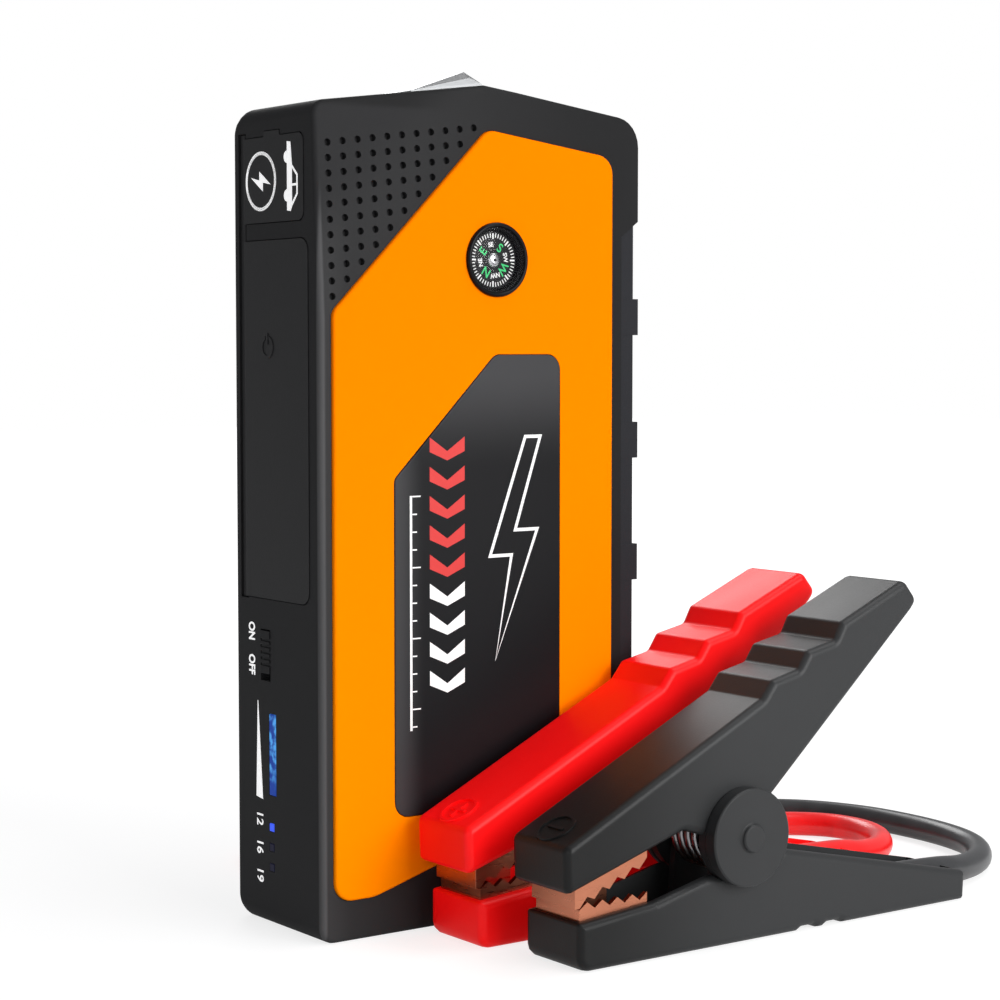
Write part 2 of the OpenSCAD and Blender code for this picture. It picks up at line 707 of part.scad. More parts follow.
module front_panel() color("#ff8a00") difference() {
    loft([
        upright(rounded_inset(panel_pts, panel_rs, panel_bevel), panel_y),
        upright(rounded_inset(panel_pts, panel_rs, panel_bevel * 0.3),
            panel_y + panel_bevel * 0.35),
        upright(rounded_inset(panel_pts, panel_rs, 0), panel_y + panel_bevel),
        upright(rounded_inset(panel_pts, panel_rs, 0), panel_y + panel_t)]);
    front_slab(panel_y - 1, badge_y + badge_t)
        polygon(rounded_inset(badge_pts, badge_rs, -fit_gap));
    translate([compass_x, 0, compass_z])
        rod_y(panel_y - 1, front_y + 3, cup_r + slim);
}

module badge_plate() color("#171719") loft([
    upright(rounded_inset(badge_pts, badge_rs, 0.3), badge_y),
    upright(rounded_inset(badge_pts, badge_rs, 0), badge_y + 0.3),
    upright(rounded_inset(badge_pts, badge_rs, 0), badge_y + badge_t)]);

bezel_y = panel_y - bezel_rise;
cup_back = panel_y + cup_depth;
lens_y = panel_y - 0.2;
card_y = panel_y + 1.4;

module compass_cup() color("#101012") translate([compass_x, 0, compass_z]) {
    difference() {
        union() {
            rod_y(bezel_y, panel_y, bezel_r);
            rod_y(panel_y - eps, cup_back, cup_r);
        }
        rod_y(bezel_y - 1, lens_y, cup_r - 0.5);
        rod_y(bezel_y - 1, cup_back - 0.8, cup_r - 0.9);
    }
    // point that the card turns on
    rod_y(card_y + 0.55, cup_back - 0.8 + eps, 0.8);
    rod_y(card_y - 0.6, card_y + 0.56, 0.3);
}

module compass_card() color("#ededea") translate([compass_x, 0, compass_z]) {
    difference() {
        union() {
            rod_y(card_y, card_y + 0.5, card_r);
            rod_y(card_y - 0.8, card_y + eps, 1.1);
        }
        rod_y(card_y - 0.7, card_y + 1, 0.3 + pin_play);
    }
}

module compass_lens() color("#dfe6ea", 0.35) translate([compass_x, 0, compass_z])
    rotate([90, 0, 0]) translate([0, 0, -lens_y]) rotate_extrude() polygon([
        [0, slim], [cup_r - 0.6, slim], [cup_r - 0.6, 0.7],
        for (a = [15:15:75]) [(cup_r - 0.6) * cos(a), 0.7 + 0.7 * sin(a)],
        [0, 1.4]]);

module window_breaker() color("#b9bcc0") {
    translate([breaker_x, 0, 0]) {
        hull() {
            block([-breaker_w / 2, -breaker_d / 2, breaker_seat],
                [breaker_w / 2, breaker_d / 2, breaker_seat + 1.2]);
            for (p = [[-8.4, 4.8, 4.8], [-1.2, 4, 1.6], [3.6, 2, 0.5], [5, -3, 0],
                [4.3, -6.5, 1.7], [7, -6.8, 2.7]])
                translate([p.x, p.y, breaker_seat + breaker_h - p.z]) cube(0.2);
        }
        translate([0, 0, eave_h - 10]) cylinder(h = breaker_seat - eave_h + 10 + eps,
            r = stem_r);
        translate([0, 0, eave_h - 10]) cylinder(h = 2, r = stem_r + 2);
    }
}

// ---------- port side ----------

module rubber_cover(lo, hi, front, r) {
    intersection() {
        side_slab(side_x - rubber_rise, side_x - rubber_rise + rubber_t) children();
        block([side_x - 5, front - 5, lo - 5], [side_x + 5, fold_y, hi + 5]);
    }
    fold_rod(lo, hi, rubber_t / 2);
}

module engine_flap() color("#232325")
    rubber_cover(flap_low, flap_high, flap_front, 2) union() {
        cover_outline(flap_low, flap_high, flap_front, 0, 2);
        flap_tab(0);
    }

// Raised mark on the long cover: a ring open at the top with a bar
module power_mark() {
    difference() {
        circle(r = 2.6);
        circle(r = 1.9);
        translate([-0.8, 0]) square([1.6, 4]);
    }
    translate([-0.35, 0.6]) square([0.7, 2.6]);
}

module port_cover() color("#28282a") {
    rubber_cover(ports_low, ports_high, ports_front, 3)
        cover_outline(ports_low, ports_high, ports_front, 0, 3);
    translate([side_x - rubber_rise - 0.2, button_y, button_z])
        rotate([90, 0, 90]) linear_extrude(0.2 + eps) power_mark();
}

module hinge_strip() color("#232325") difference() {
    block([fold_x, strip_y[0] + 0.05, strip_z[0] + slim],
        [side_x + strip_depth - 0.05, strip_y[1] - 0.05, strip_z[1] - slim]);
    fold_rod(strip_z[0] - 1, strip_z[1] + 1, 0.78);
}

knob_y = [slot_y - slot_w / 2 + 0.12, slot_y + slot_w / 2 - 0.12];
knob_top = slot_high - 0.3;

module switch_knob() color("#3c3c3f") difference() {
    union() {
        block([side_x - 0.25, knob_y[0], knob_top - knob_len],
            [inner_x - 0.2, knob_y[1], knob_top]);
        block([inner_x - 0.3, slot_y - 1, knob_top - knob_len / 2 - 1],
            [inner_x + 2.2, slot_y + 1, knob_top - knob_len / 2 + 1]);
    }
    for (i = [-2:2])
        block([side_x - 1, knob_y[0] - 1, knob_top - knob_len / 2 + i * 1.4 - 0.3],
            [side_x + 0.1, knob_y[1] + 1, knob_top - knob_len / 2 + i * 1.4 + 0.3]);
}

module switch_body() color("#9a9da0") difference() {
    block([inner_x + 0.15, slot_y - 3.6, switch_z - 7.5],
        [inner_x + 5, board_y, switch_z + 7.5]);
    block([inner_x - 1, slot_y - 1.15, knob_top - knob_len / 2 - 3],
        [inner_x + 2.5, slot_y + 1.15, knob_top - knob_len / 2 + 1.5]);
}

module power_button() color("#4a4a4d") translate([0, button_y, button_z]) {
    rod_x(mouth_x, inner_x + 0.2, button_r);
    rod_x(inner_x + 0.15, inner_x + 0.85, button_r + 0.7);
    rod_x(inner_x + 0.8, inner_x + 4.55, 1.2);
}

module gauge_light() color("#2f6fe0") {
    block([side_x - 0.05, gauge_y[0], gauge_z - gauge_len / 2],
        [inner_x + 0.2, gauge_y[1], gauge_z + gauge_len / 2]);
    block([inner_x + 0.1, gauge_y[0] - 1, gauge_z - gauge_len / 2 - 1],
        [inner_x + 1, gauge_y[1] + 1, gauge_z + gauge_len / 2 + 1]);
}

module voltage_lights() color("#8fb4ff") {
    for (i = [-1:1])
        block([side_x - 0.05, light_y[0], lights_z + i * lights_step - light_h / 2],
            [inner_x + 0.2, light_y[1], lights_z + i * lights_step + light_h / 2]);
    block([inner_x + 0.1, light_y[0], lights_z - lights_h / 2 - 0.3],
        [inner_x + 1, light_y[1], lights_z + lights_h / 2 + 0.3]);
}

// ---------- inside the case ----------

module main_board() color("#1f6b3a") difference() {
    union() {
        block([board_x, board_y, board_z[0]],
            [board_x + board_w, board_y + board_t, board_z[1]]);
        // switch under the power button, charger coil and capacitors
        block([inner_x + 5.4, button_y - 3, button_z - 3], [inner_x + 10, board_y + eps,
            button_z + 3]);
        block([board_x + 2.5, board_y + board_t - eps, gauge_z - 9.7],
            [board_x + 12.5, board_y + 5, gauge_z + 0.3]);
        translate([board_x + 7.5, 0, input_z + 10])
            rod_y(board_y + board_t - eps, board_y + 5, 4);
        for (i = [0:2]) block([board_x + 1.5, board_y + board_t - eps, input_z - 33 + 12 * i],
            [board_x + 9.5, board_y + 3, input_z - 27 + 12 * i]);
    }
    for (s = board_screws)
        translate([s.x, 0, s.y]) rod_y(board_y - 1, board_y + board_t + 1, screw_r + 0.2);
}

module board_screw(i) color("#8d9094")
    translate([board_screws[i].x, 0, board_screws[i].y]) {
        rod_y(board_y - 6, board_y + board_t + eps, screw_r);
        rod_y(board_y + board_t, board_y + board_t + 1.2, board_head_r);
    }
module board_screw_1() board_screw(0);
module board_screw_2() board_screw(1);

cell_x = [board_x + board_w + 2.2, flank_x - wall - cell_side_gap];
cell_z = [13.5, eave_h - cell_top_gap];
cell_w = cell_x[1] - cell_x[0];
cell_h = cell_z[1] - cell_z[0];
pad_t = 1;
cells_y = front_in + pad_t;

module battery_cell(i) color("#b7bcc4")
    translate([0, cells_y + i * (cell_t + 0.05), 0])
        translate([cell_x[0], cell_t, cell_z[0]]) rotate([90, 0, 0])
            linear_extrude(cell_t) polygon(rounded([[0, 0], [cell_w, 0],
                [cell_w, cell_h], [0, cell_h]], [1.5, 1.5, 1.5, 1.5]));
module battery_cell_1() battery_cell(0);
module battery_cell_2() battery_cell(1);
module battery_cell_3() battery_cell(2);

cells_back = cells_y + 3 * cell_t + 0.1;

module cell_pad_front() color("#55585c")
    block([cell_x[0] + 4, front_in + 0.05, cell_z[0] + 6],
        [cell_x[1] - 4, cells_y - 0.05, cell_z[1] - 6]);
module cell_pad_back() color("#55585c")
    block([cell_x[0] + 4, cells_back + 0.05, cell_z[0] + 6],
        [cell_x[1] - 4, seat_y - 0.05, cell_z[1] - 6]);

link_y = [cells_y + 2, cells_back - 2];
minus_x = cell_x[0] + 7;
plus_x = cell_x[1] - 14;
module cell_link(x) color("#c9ccd0")
    block([x - 4, link_y[0], cell_z[1] + 0.05], [x + 4, link_y[1], cell_z[1] + 0.85]);
module cell_link_plus() cell_link(plus_x);
module cell_link_minus() cell_link(minus_x);

socket_back = side_x + 17;
cavity_back = socket_back - 2.7;
contact_step = 4.1;
contact_front = side_x + 6.4;
cavity_half = [4.2, 7.8];
cavity_corner = 3;
hood_play = 0.2;
contact_r = 3;
contact_bore = 2.5;
contact_tail = socket_back + 1.2;

// Outline of the plug's hood and of the socket's cavity, with one flat side
module hood_outline(half) {
    polygon(rounded([[-half.x, -half.y], [half.x, -half.y], [half.x, half.y],
        [-half.x, half.y]], [1, cavity_corner, cavity_corner, 1]));
}

module engine_socket() color("#1d5fae") difference() {
    block([mouth_x, socket_y - socket_h / 2, socket_z - socket_w / 2],
        [socket_back, socket_y + socket_h / 2, socket_z + socket_w / 2]);
    side_slab(mouth_x - 1, cavity_back) translate([socket_y, socket_z])
        hood_outline(cavity_half);
    for (s = [-1, 1]) translate([0, socket_y, socket_z + s * contact_step])
        rod_x(cavity_back - 1, socket_back + 1, 1.5 + pin_play);
}

module engine_contact(s) color("#d9b24a")
    translate([0, socket_y, socket_z + s * contact_step]) {
        difference() {
            rod_x(contact_front, cavity_back, contact_r);
            rod_x(contact_front - 1, cavity_back - 1, contact_bore);
        }
        rod_x(cavity_back - eps, contact_tail, 1.5);
    }
module engine_contact_plus() engine_contact(1);
module engine_contact_minus() engine_contact(-1);

module usb_socket(z) color("#c4c7ca") difference() {
    block([mouth_x, usb_y - usb_h / 2, z - usb_w / 2],
        [mouth_x + 14, usb_y + usb_h / 2, z + usb_w / 2]);
    difference() {
        block([mouth_x - 1, usb_y - 2.5, z - 6.2], [mouth_x + 12.6, usb_y + 2.5, z + 6.2]);
        block([mouth_x + 1, usb_y + 0.2, z - 5.6], [mouth_x + 14, usb_y + 1.9, z + 5.6]);
    }
}
module usb_socket_upper() usb_socket(usb_z[0]);
module usb_socket_lower() usb_socket(usb_z[1]);

module jack(z) color("#19191b") {
    difference() {
        union() {
            translate([0, jack_y, z]) rod_x(mouth_x, inner_x + 0.3, jack_r);
            block([inner_x + 0.2, jack_y - 4.4, z - 4.6], [inner_x + 12, board_y, z + 4.6]);
        }
        translate([0, jack_y, z]) rod_x(mouth_x - 1, mouth_x + 9.5, 2.8);
    }
    translate([0, jack_y, z]) rod_x(mouth_x + 0.8, mouth_x + 10, 1);
}
module output_jack() jack(output_z);
module input_jack() jack(input_z);

wire_r = 1.9;
// Wire from a cell link up to a contact; its way is given in shares of width and height
module feed_wire(x, contact_z, way) {
    tube(smooth_route([for (s = way) [between(x, contact_tail + 0.05, s.x), socket_y,
        between(cell_z[1] + 0.9, contact_z, s.y)]], 3), wire_r, 8, [0, 1, 0]);
}
module feed_wire_red() color("#c81e1e") feed_wire(plus_x, socket_z + contact_step,
    [[0, 0], [0, 0.15], [0.05, 0.44], [0.28, 0.75], [0.56, 0.95], [0.84, 1], [1, 1]]);
module feed_wire_black() color("#1c1c1e") feed_wire(minus_x, socket_z - contact_step,
    [[0, 0], [0, 0.2], [0.04, 0.55], [0.23, 0.89], [0.59, 1], [1, 1]]);

// ---------- clamps ----------

module at_clamp(y, dx) translate([dx, y, 0]) children();

// Rings of an arm's rounded outer form, half width w
function arm_rings(pts, rs, w, n = 3) = [
    for (s = [-1, 1], a = s < 0 ? [0:30:90] : [90:-30:0])
        upright(rounded_inset(pts, rs, arm_edge_r * (1 - sin(a)), n),
            s * (w - arm_edge_r * (1 - cos(a))))];

nose_dir = unit(ceiling_a + [0, 2.2] - nose);
nose_angle = atan2(nose_dir.y, nose_dir.x);
mark_at = nose + [4.8, 2.4];

// Ring with a plus or a minus, raised on the nose
module polarity_mark(is_plus) {
    translate([mark_at.x, 0, mark_at.y]) rotate([0, -nose_angle, 0])
        translate([0, 0, -0.6]) linear_extrude(0.95) {
            difference() {
                circle(r = 4.6);
                circle(r = 3.9);
            }
            square([0.8, 5], center = true);
            if (is_plus) square([5, 0.8], center = true);
        }
}

module upper_grip(colour, is_plus) color(colour) difference() {
    union() {
        difference() {
            union() {
                loft(arm_rings(upper_pts, upper_rs, arm_w / 2), upper_parts);
                translate([pivot.x, 0, pivot.y])
                    rod_y(0.05 - arm_w / 2, arm_w / 2 - 0.05, upper_ear_r);
            }
            // channel, open below
            front_slab(-arm_in, arm_in) polygon(upper_hollow);
        }
        polarity_mark(is_plus);
    }
    translate([pivot.x, 0, pivot.y]) rod_y(-arm_w, arm_w, pin_r + pin_play);
}

module lower_grip(colour) color(colour) difference() {
    union() {
        difference() {
            loft(arm_rings(lower_pts, lower_rs, arm_w / 2), lower_parts);
            // channel, open above
            block([lower_hollow_x[0], -arm_in, floor_t], [lower_hollow_x[1], arm_in, 60]);
            // clearance round the upper arm's ears
            translate([pivot.x, 0, pivot.y])
                rod_y(-arm_w, arm_w, upper_ear_r + ear_gap);
            // way out for the lead
            translate([0, 0, lead_out_z]) rod_x(tail_x - 10, tail_x + 10,
                lead_d / 2 + 0.25);
            block([tail_x - 3, -lead_d / 2 - 0.25, lead_out_z],
                [tail_x + 3, lead_d / 2 + 0.25, 20]);
        }
        for (s = [-1, 1])
            front_slab(s > 0 ? ear_out - ear_t : -ear_out, s > 0 ? ear_out : ear_t - ear_out) {
                polygon([[pivot.x - 7.5, floor_t / 2], [pivot.x + 8.5, floor_t / 2],
                    [pivot.x + 5.5, pivot.y], [pivot.x - 5.5, pivot.y]]);
                translate(pivot) circle(r = ear_r);
            }
    }
    translate([pivot.x, 0, pivot.y]) rod_y(-arm_in, arm_in, pin_r + pin_play);
}

copper = "#c47a4e";

// Both cheeks of a jaw, from one side view
module cheeks() {
    front_slab(-jaw_out, jaw_t - jaw_out) children();
    front_slab(jaw_out - jaw_t, jaw_out) children();
}

teeth = 4;
tooth_x = tip_x + 1.5;
tooth_mid = tooth / 2;
jaw_end = tooth_x + tooth * (teeth + 0.5);
lower_jaw_x = lower_hollow_x[0] + 0.2;
lower_jaw_z = 13.1;
jaw_floor = floor_t + 0.05;
strip_half = 2.5;

module lower_jaw() color(copper) {
    cheeks() polygon([[lower_jaw_x, jaw_floor], [jaw_end, jaw_floor],
        for (i = [teeth:-1:0]) each [
            [tooth_x + tooth_mid + tooth * i, lower_jaw_z + tooth_h],
            [tooth_x + tooth * i, lower_jaw_z]],
        [lower_jaw_x, lower_jaw_z]]);
    block([lower_jaw_x, -jaw_out, jaw_floor], [jaw_end, jaw_out, jaw_floor + jaw_t]);
    block([lower_jaw_x, -jaw_out, jaw_floor], [lower_jaw_x + jaw_t, jaw_out, lower_jaw_z]);
    // tail strip and crimp barrel
    block([jaw_end - 1, -strip_half, jaw_floor],
        [crimp_x + crimp_len, strip_half, jaw_floor + 1]);
    difference() {
        union() {
            translate([0, 0, lead_in_z]) rod_x(crimp_x, crimp_x + crimp_len,
                lead_d / 2 + 1);
            block([crimp_x, -strip_half, jaw_floor + 0.45],
                [crimp_x + crimp_len, strip_half, lead_in_z]);
        }
        translate([0, 0, lead_in_z]) rod_x(crimp_x - 1, crimp_x + crimp_len + 1,
            lead_d / 2 + 0.05);
    }
}

bite_slope = 0.394;
upper_jaw_x = nose.x + 4;
jaw_roof = [nose.y - 4.2, nose.y + 2.3];
bite_low = 13.4;
function bite_z(x) = bite_low + bite_slope * (x - tooth_x);

module upper_jaw() color(copper) {
    cheeks() polygon([[upper_jaw_x, jaw_roof[0]], [upper_jaw_x, bite_low],
        [tooth_x, bite_low],
        for (i = [0:teeth], d = i < teeth ? [[tooth_mid, tooth_h], [tooth - 0.1, 0]]
            : [[tooth_mid, tooth_h]])
            let (x = tooth_x + tooth * i + d.x) [x, bite_z(x) + d.y],
        [jaw_end, jaw_roof[1]]]);
    front_slab(-jaw_out, jaw_out)
        polygon([[upper_jaw_x, jaw_roof[0] - jaw_t], [jaw_end, jaw_roof[1] - jaw_t],
            [jaw_end, jaw_roof[1]], [upper_jaw_x, jaw_roof[0]]]);
    block([upper_jaw_x, -jaw_out, bite_low],
        [upper_jaw_x + jaw_t, jaw_out, jaw_roof[0] - jaw_t / 2]);
}

// Pin with the far cap as its head
module pivot_pin(colour) color(colour) translate([pivot.x, 0, pivot.y]) {
    rod_y(-arm_w / 2 - cap_t + 0.6, arm_w / 2 + 0.2, pin_r);
    rod_y(arm_w / 2 + slim, arm_w / 2 + slim + far_cap_t, cap_r);
}

module pivot_cap(colour) color(colour) translate([pivot.x, 0, pivot.y]) difference() {
    union() {
        rod_y(-arm_w / 2 - cap_t, -arm_w / 2 - slim, cap_r);
        rod_y(-arm_w / 2 - cap_t - hub_t, -arm_w / 2 - cap_t + eps, hub_r);
    }
    rod_y(-arm_w / 2 - cap_t + 0.55, 0, pin_r + pin_play);
}

// Torsion spring: a leg on the lower arm's floor, curls round the pin, a leg
// under the upper arm's web
spring_r = wire_d / 2;
curls = 3.25;
leg_gap = 0.25;
low_a = -130;
high_a = 140;
function coil_at(a) = [pivot.x + coil_r * cos(a), pivot.y + coil_r * sin(a)];
low_leg = (coil_at(low_a).y - floor_t - spring_r - leg_gap) / cos(low_a + 180);
ceiling_n = unit([ceiling_a.y - ceiling_b.y, ceiling_b.x - ceiling_a.x]);
high_dir = [sin(high_a), -cos(high_a)];
high_leg = (ceiling_n * (ceiling_a - coil_at(high_a)) - spring_r - leg_gap)
    / (ceiling_n * high_dir);
coil_steps = round(curls * 8);
spring_path = [
    for (t = [low_leg, low_leg * 0.5, wire_d])
        [coil_at(low_a).x - sin(low_a) * t, -coil_pitch * curls / 2,
            coil_at(low_a).y + cos(low_a) * t],
    for (i = [0:coil_steps])
        let (a = low_a - 360 * curls * i / coil_steps)
        [coil_at(a).x, coil_pitch * curls * (i / coil_steps - 0.5), coil_at(a).y],
    for (t = [wire_d, high_leg * 0.5, high_leg])
        [coil_at(high_a).x + high_dir.x * t, coil_pitch * curls / 2,
            coil_at(high_a).y + high_dir.y * t]];
spring_gap = min([for (i = [0:len(spring_path) - 7], j = [i + 6:len(spring_path) - 1])
    norm(spring_path[i] - spring_path[j])]) - wire_d;
echo(spring_least_gap = spring_gap);

module spring() color("#a7abb0") tube(spring_path, spring_r, 6, [0, 1, 0]);

red_grip = "#f0231d";
black_grip = "#2c2d2e";

module red_upper_grip() at_clamp(red_y, red_shift) upper_grip(red_grip, true);
module red_lower_grip() at_clamp(red_y, red_shift) lower_grip(red_grip);
module red_upper_jaw() at_clamp(red_y, red_shift) upper_jaw();
module red_lower_jaw() at_clamp(red_y, red_shift) lower_jaw();
module red_pivot_pin() at_clamp(red_y, red_shift) pivot_pin(red_grip);
module red_pivot_cap() at_clamp(red_y, red_shift) pivot_cap(red_grip);
module red_spring() at_clamp(red_y, red_shift) spring();
module black_upper_grip() at_clamp(black_y, 0) upper_grip(black_grip, false);
module black_lower_grip() at_clamp(black_y, 0) lower_grip(black_grip);
module black_upper_jaw() at_clamp(black_y, 0) upper_jaw();
module black_lower_jaw() at_clamp(black_y, 0) lower_jaw();
module black_pivot_pin() at_clamp(black_y, 0) pivot_pin(black_grip);
module black_pivot_cap() at_clamp(black_y, 0) pivot_cap(black_grip);
module black_spring() at_clamp(black_y, 0) spring();

// ---------- leads and plug ----------

module red_lead() color("#e3201b") tube(smooth_route(red_route, 2), lead_d / 2, 10);
module black_lead() color("#242426") tube(smooth_route(black_route, 2), lead_d / 2, 10);

plug_r = 2.4;
plug_seat = plug_x[0] + 6;
plug_nose = plug_x[1] + 9;
module lead_plug() color("#1d5fae") difference() {
    union() {
        side_slab(plug_x[0], plug_x[1]) translate([plug_y, plug_z])
            polygon(rounded([[-10.5, -5.4], [10.5, -5.4], [10.5, 5.4], [-10.5, 5.4]],
                [2, 2, 2, 2]));
        side_slab(plug_x[1] - 1, plug_nose) translate([plug_y, plug_z]) rotate(90)
            hood_outline(cavity_half - [hood_play, hood_play]);
    }
    for (s = [-1, 1]) translate([0, plug_y + s * plug_half, plug_z]) {
        rod_x(plug_x[0] - 1, plug_seat, lead_d / 2 + 0.05);
        rod_x(plug_seat - 1, plug_nose + 1, plug_r + pin_play);
    }
}

module plug_pin(s) color("#d9b24a") translate([0, plug_y + s * plug_half, plug_z])
    rod_x(plug_seat + 0.1, plug_nose, plug_r);
module plug_pin_red() plug_pin(1);
module plug_pin_black() plug_pin(-1);

case_shell();
rear_cover();
case_screw_1();
case_screw_2();
case_screw_3();
case_screw_4();
side_grip();
front_panel();
badge_plate();
compass_cup();
compass_card();
compass_lens();
window_breaker();
engine_flap();
port_cover();
hinge_strip();
switch_knob();
switch_body();
power_button();
gauge_light();
voltage_lights();
main_board();
board_screw_1();
board_screw_2();
battery_cell_1();
battery_cell_2();
battery_cell_3();
cell_pad_front();
cell_pad_back();
cell_link_plus();
cell_link_minus();
engine_socket();
engine_contact_plus();
engine_contact_minus();
usb_socket_upper();
usb_socket_lower();
output_jack();
input_jack();
feed_wire_red();
feed_wire_black();
red_upper_grip();
red_lower_grip();
red_upper_jaw();
red_lower_jaw();
red_pivot_pin();
red_pivot_cap();
red_spring();
black_upper_grip();
black_lower_grip();
black_upper_jaw();
black_lower_jaw();
black_pivot_pin();
black_pivot_cap();
black_spring();
red_lead();
black_lead();
lead_plug();
plug_pin_red();
plug_pin_black();
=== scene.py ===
"""Jump starter pack with a red and a black battery clamp, dressed for rendering."""

import math

import bmesh
import bpy
from mathutils import Matrix, Vector


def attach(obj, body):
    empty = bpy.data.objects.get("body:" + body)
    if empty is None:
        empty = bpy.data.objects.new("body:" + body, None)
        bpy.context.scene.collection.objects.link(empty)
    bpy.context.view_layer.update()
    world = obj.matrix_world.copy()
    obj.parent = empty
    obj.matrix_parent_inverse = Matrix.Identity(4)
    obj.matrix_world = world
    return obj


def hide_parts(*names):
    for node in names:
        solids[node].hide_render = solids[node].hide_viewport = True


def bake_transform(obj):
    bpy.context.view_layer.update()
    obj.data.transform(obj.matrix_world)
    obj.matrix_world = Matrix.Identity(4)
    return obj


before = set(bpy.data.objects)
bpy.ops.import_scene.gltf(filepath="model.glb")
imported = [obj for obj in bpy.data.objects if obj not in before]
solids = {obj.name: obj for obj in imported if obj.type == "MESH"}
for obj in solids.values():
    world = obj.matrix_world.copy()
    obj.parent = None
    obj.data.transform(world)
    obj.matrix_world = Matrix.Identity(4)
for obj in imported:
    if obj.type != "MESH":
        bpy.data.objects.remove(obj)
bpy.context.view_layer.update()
scene = bpy.context.scene

# ---------------------------------------------------------------------------
# Studio: camera at the height of a table-top shot, white floor and backdrop,
# four soft lamps and a pale world, all at a level where colours read true.

camera_place = Vector((-0.31884, -0.46054, 0.13219))
camera_turn = math.radians(-36.07)
camera_dip = math.radians(3.67)
camera_view = Vector(
    (
        -math.sin(camera_turn) * math.cos(camera_dip),
        math.cos(camera_turn) * math.cos(camera_dip),
        -math.sin(camera_dip),
    )
)
camera_data = bpy.data.cameras.new("camera")
camera_data.sensor_width = 36
camera_data.lens = 85.715
camera = bpy.data.objects.new("camera", camera_data)
camera.location = camera_place
camera.rotation_euler = camera_view.to_track_quat("-Z", "Y").to_euler()
scene.collection.objects.link(camera)
scene.camera = camera
scene.view_settings.view_transform = "Standard"


class Shade:
    """A socket in a material; sums and products of shades add its Math nodes."""

    def __init__(self, finish, socket):
        self.finish = finish
        self.socket = socket

    def maths(self, operation, other):
        return self.finish.add(
            "ShaderNodeMath", {"operation": operation}, {0: self, 1: other}
        )

    def __add__(self, other):
        return self.maths("ADD", other)

    def __mul__(self, other):
        return self.maths("MULTIPLY", other)

    def larger(self, other):
        return self.maths("MAXIMUM", other)

    def step(self, low, high):
        """0 below low, 1 above high, smooth between."""
        return self.finish.add(
            "ShaderNodeMapRange",
            {"interpolation_type": "SMOOTHSTEP"},
            {"Value": self, "From Min": low, "From Max": high},
        )


class Finish:
    """A surface finish: a material with its Principled shader."""

    def __init__(self, name):
        self.material = bpy.data.materials.new(name)
        self.material.use_nodes = True
        self.tree = self.material.node_tree
        self.shader = self.tree.nodes["Principled BSDF"]

    def feed(self, socket, value):
        if isinstance(value, Shade):
            self.tree.links.new(value.socket, socket)
        else:
            socket.default_value = value

    def add(self, kind, settings=None, sockets=None, out=0):
        node = self.tree.nodes.new(kind)
        for key, value in (settings or {}).items():
            setattr(node, key, value)
        for key, value in (sockets or {}).items():
            self.feed(node.inputs[key], value)
        return Shade(self, node.outputs[out])

    def where(self):
        """Place on the piece, in metres."""
        return self.add("ShaderNodeTexCoord", out="Object")

    def along(self, axis):
        """Place on the piece along one axis, in metres."""
        return self.add(
            "ShaderNodeSeparateXYZ", sockets={"Vector": self.where()}, out=axis
        )

    def grain(self, scale, detail=2.0, stretch=(1, 1, 1)):
        """Even noise from 0 to 1, with so many lumps to the metre."""
        place = self.add(
            "ShaderNodeMapping", sockets={"Vector": self.where(), "Scale": stretch}
        )
        return self.add(
            "ShaderNodeTexNoise",
            sockets={"Vector": place, "Scale": scale, "Detail": detail},
            out="Fac",
        )

    def blend(self, factor, low, high):
        """Colour that goes from low to high with the factor."""
        return self.add(
            "ShaderNodeMix",
            {"data_type": "RGBA"},
            {"Factor": factor, 6: low, 7: high},
            out=2,
        )

    def bump(self, height, distance, strength):
        return self.add(
            "ShaderNodeBump",
            sockets={"Height": height, "Distance": distance, "Strength": strength},
        )

    def set(self, **sockets):
        """Sets the shader's sockets, written with _ for a space."""
        for key, value in sockets.items():
            self.feed(self.shader.inputs[key.replace("_", " ")], value)
        return self.material


def tint(colour, share):
    return (*[min(1.0, c * share) for c in colour[:3]], 1.0)


def shown_white(tree, seen_white, lit, gloss):
    """Mix Shader: white to the camera and through glass, to a share of gloss in
    reflections, and the lit shader otherwise."""
    path = tree.nodes.new("ShaderNodeLightPath")
    either = path.outputs["Is Camera Ray"]
    for ray, share in (("Is Glossy Ray", gloss), ("Is Transmission Ray", 1.0)):
        larger = tree.nodes.new("ShaderNodeMath")
        larger.operation = "MAXIMUM"
        part = tree.nodes.new("ShaderNodeMath")
        part.operation = "MULTIPLY"
        part.inputs[1].default_value = share
        tree.links.new(path.outputs[ray], part.inputs[0])
        tree.links.new(either, larger.inputs[0])
        tree.links.new(part.outputs[0], larger.inputs[1])
        either = larger.outputs[0]
    mix = tree.nodes.new("ShaderNodeMixShader")
    tree.links.new(either, mix.inputs[0])
    tree.links.new(lit, mix.inputs[1])
    tree.links.new(seen_white, mix.inputs[2])
    return mix.outputs[0]


world = bpy.data.worlds.new("studio")
scene.world = world
world.use_nodes = True
world_tree = world.node_tree
room = world_tree.nodes["Background"]
room.inputs["Color"].default_value = (0.93, 0.95, 1.0, 1)
room.inputs["Strength"].default_value = 0.2
backdrop = world_tree.nodes.new("ShaderNodeBackground")
backdrop.inputs["Color"].default_value = (1, 1, 1, 1)
backdrop.inputs["Strength"].default_value = 1.0
world_tree.links.new(
    shown_white(world_tree, backdrop.outputs[0], room.outputs[0], 0.3),
    world_tree.nodes["World Output"].inputs["Surface"],
)

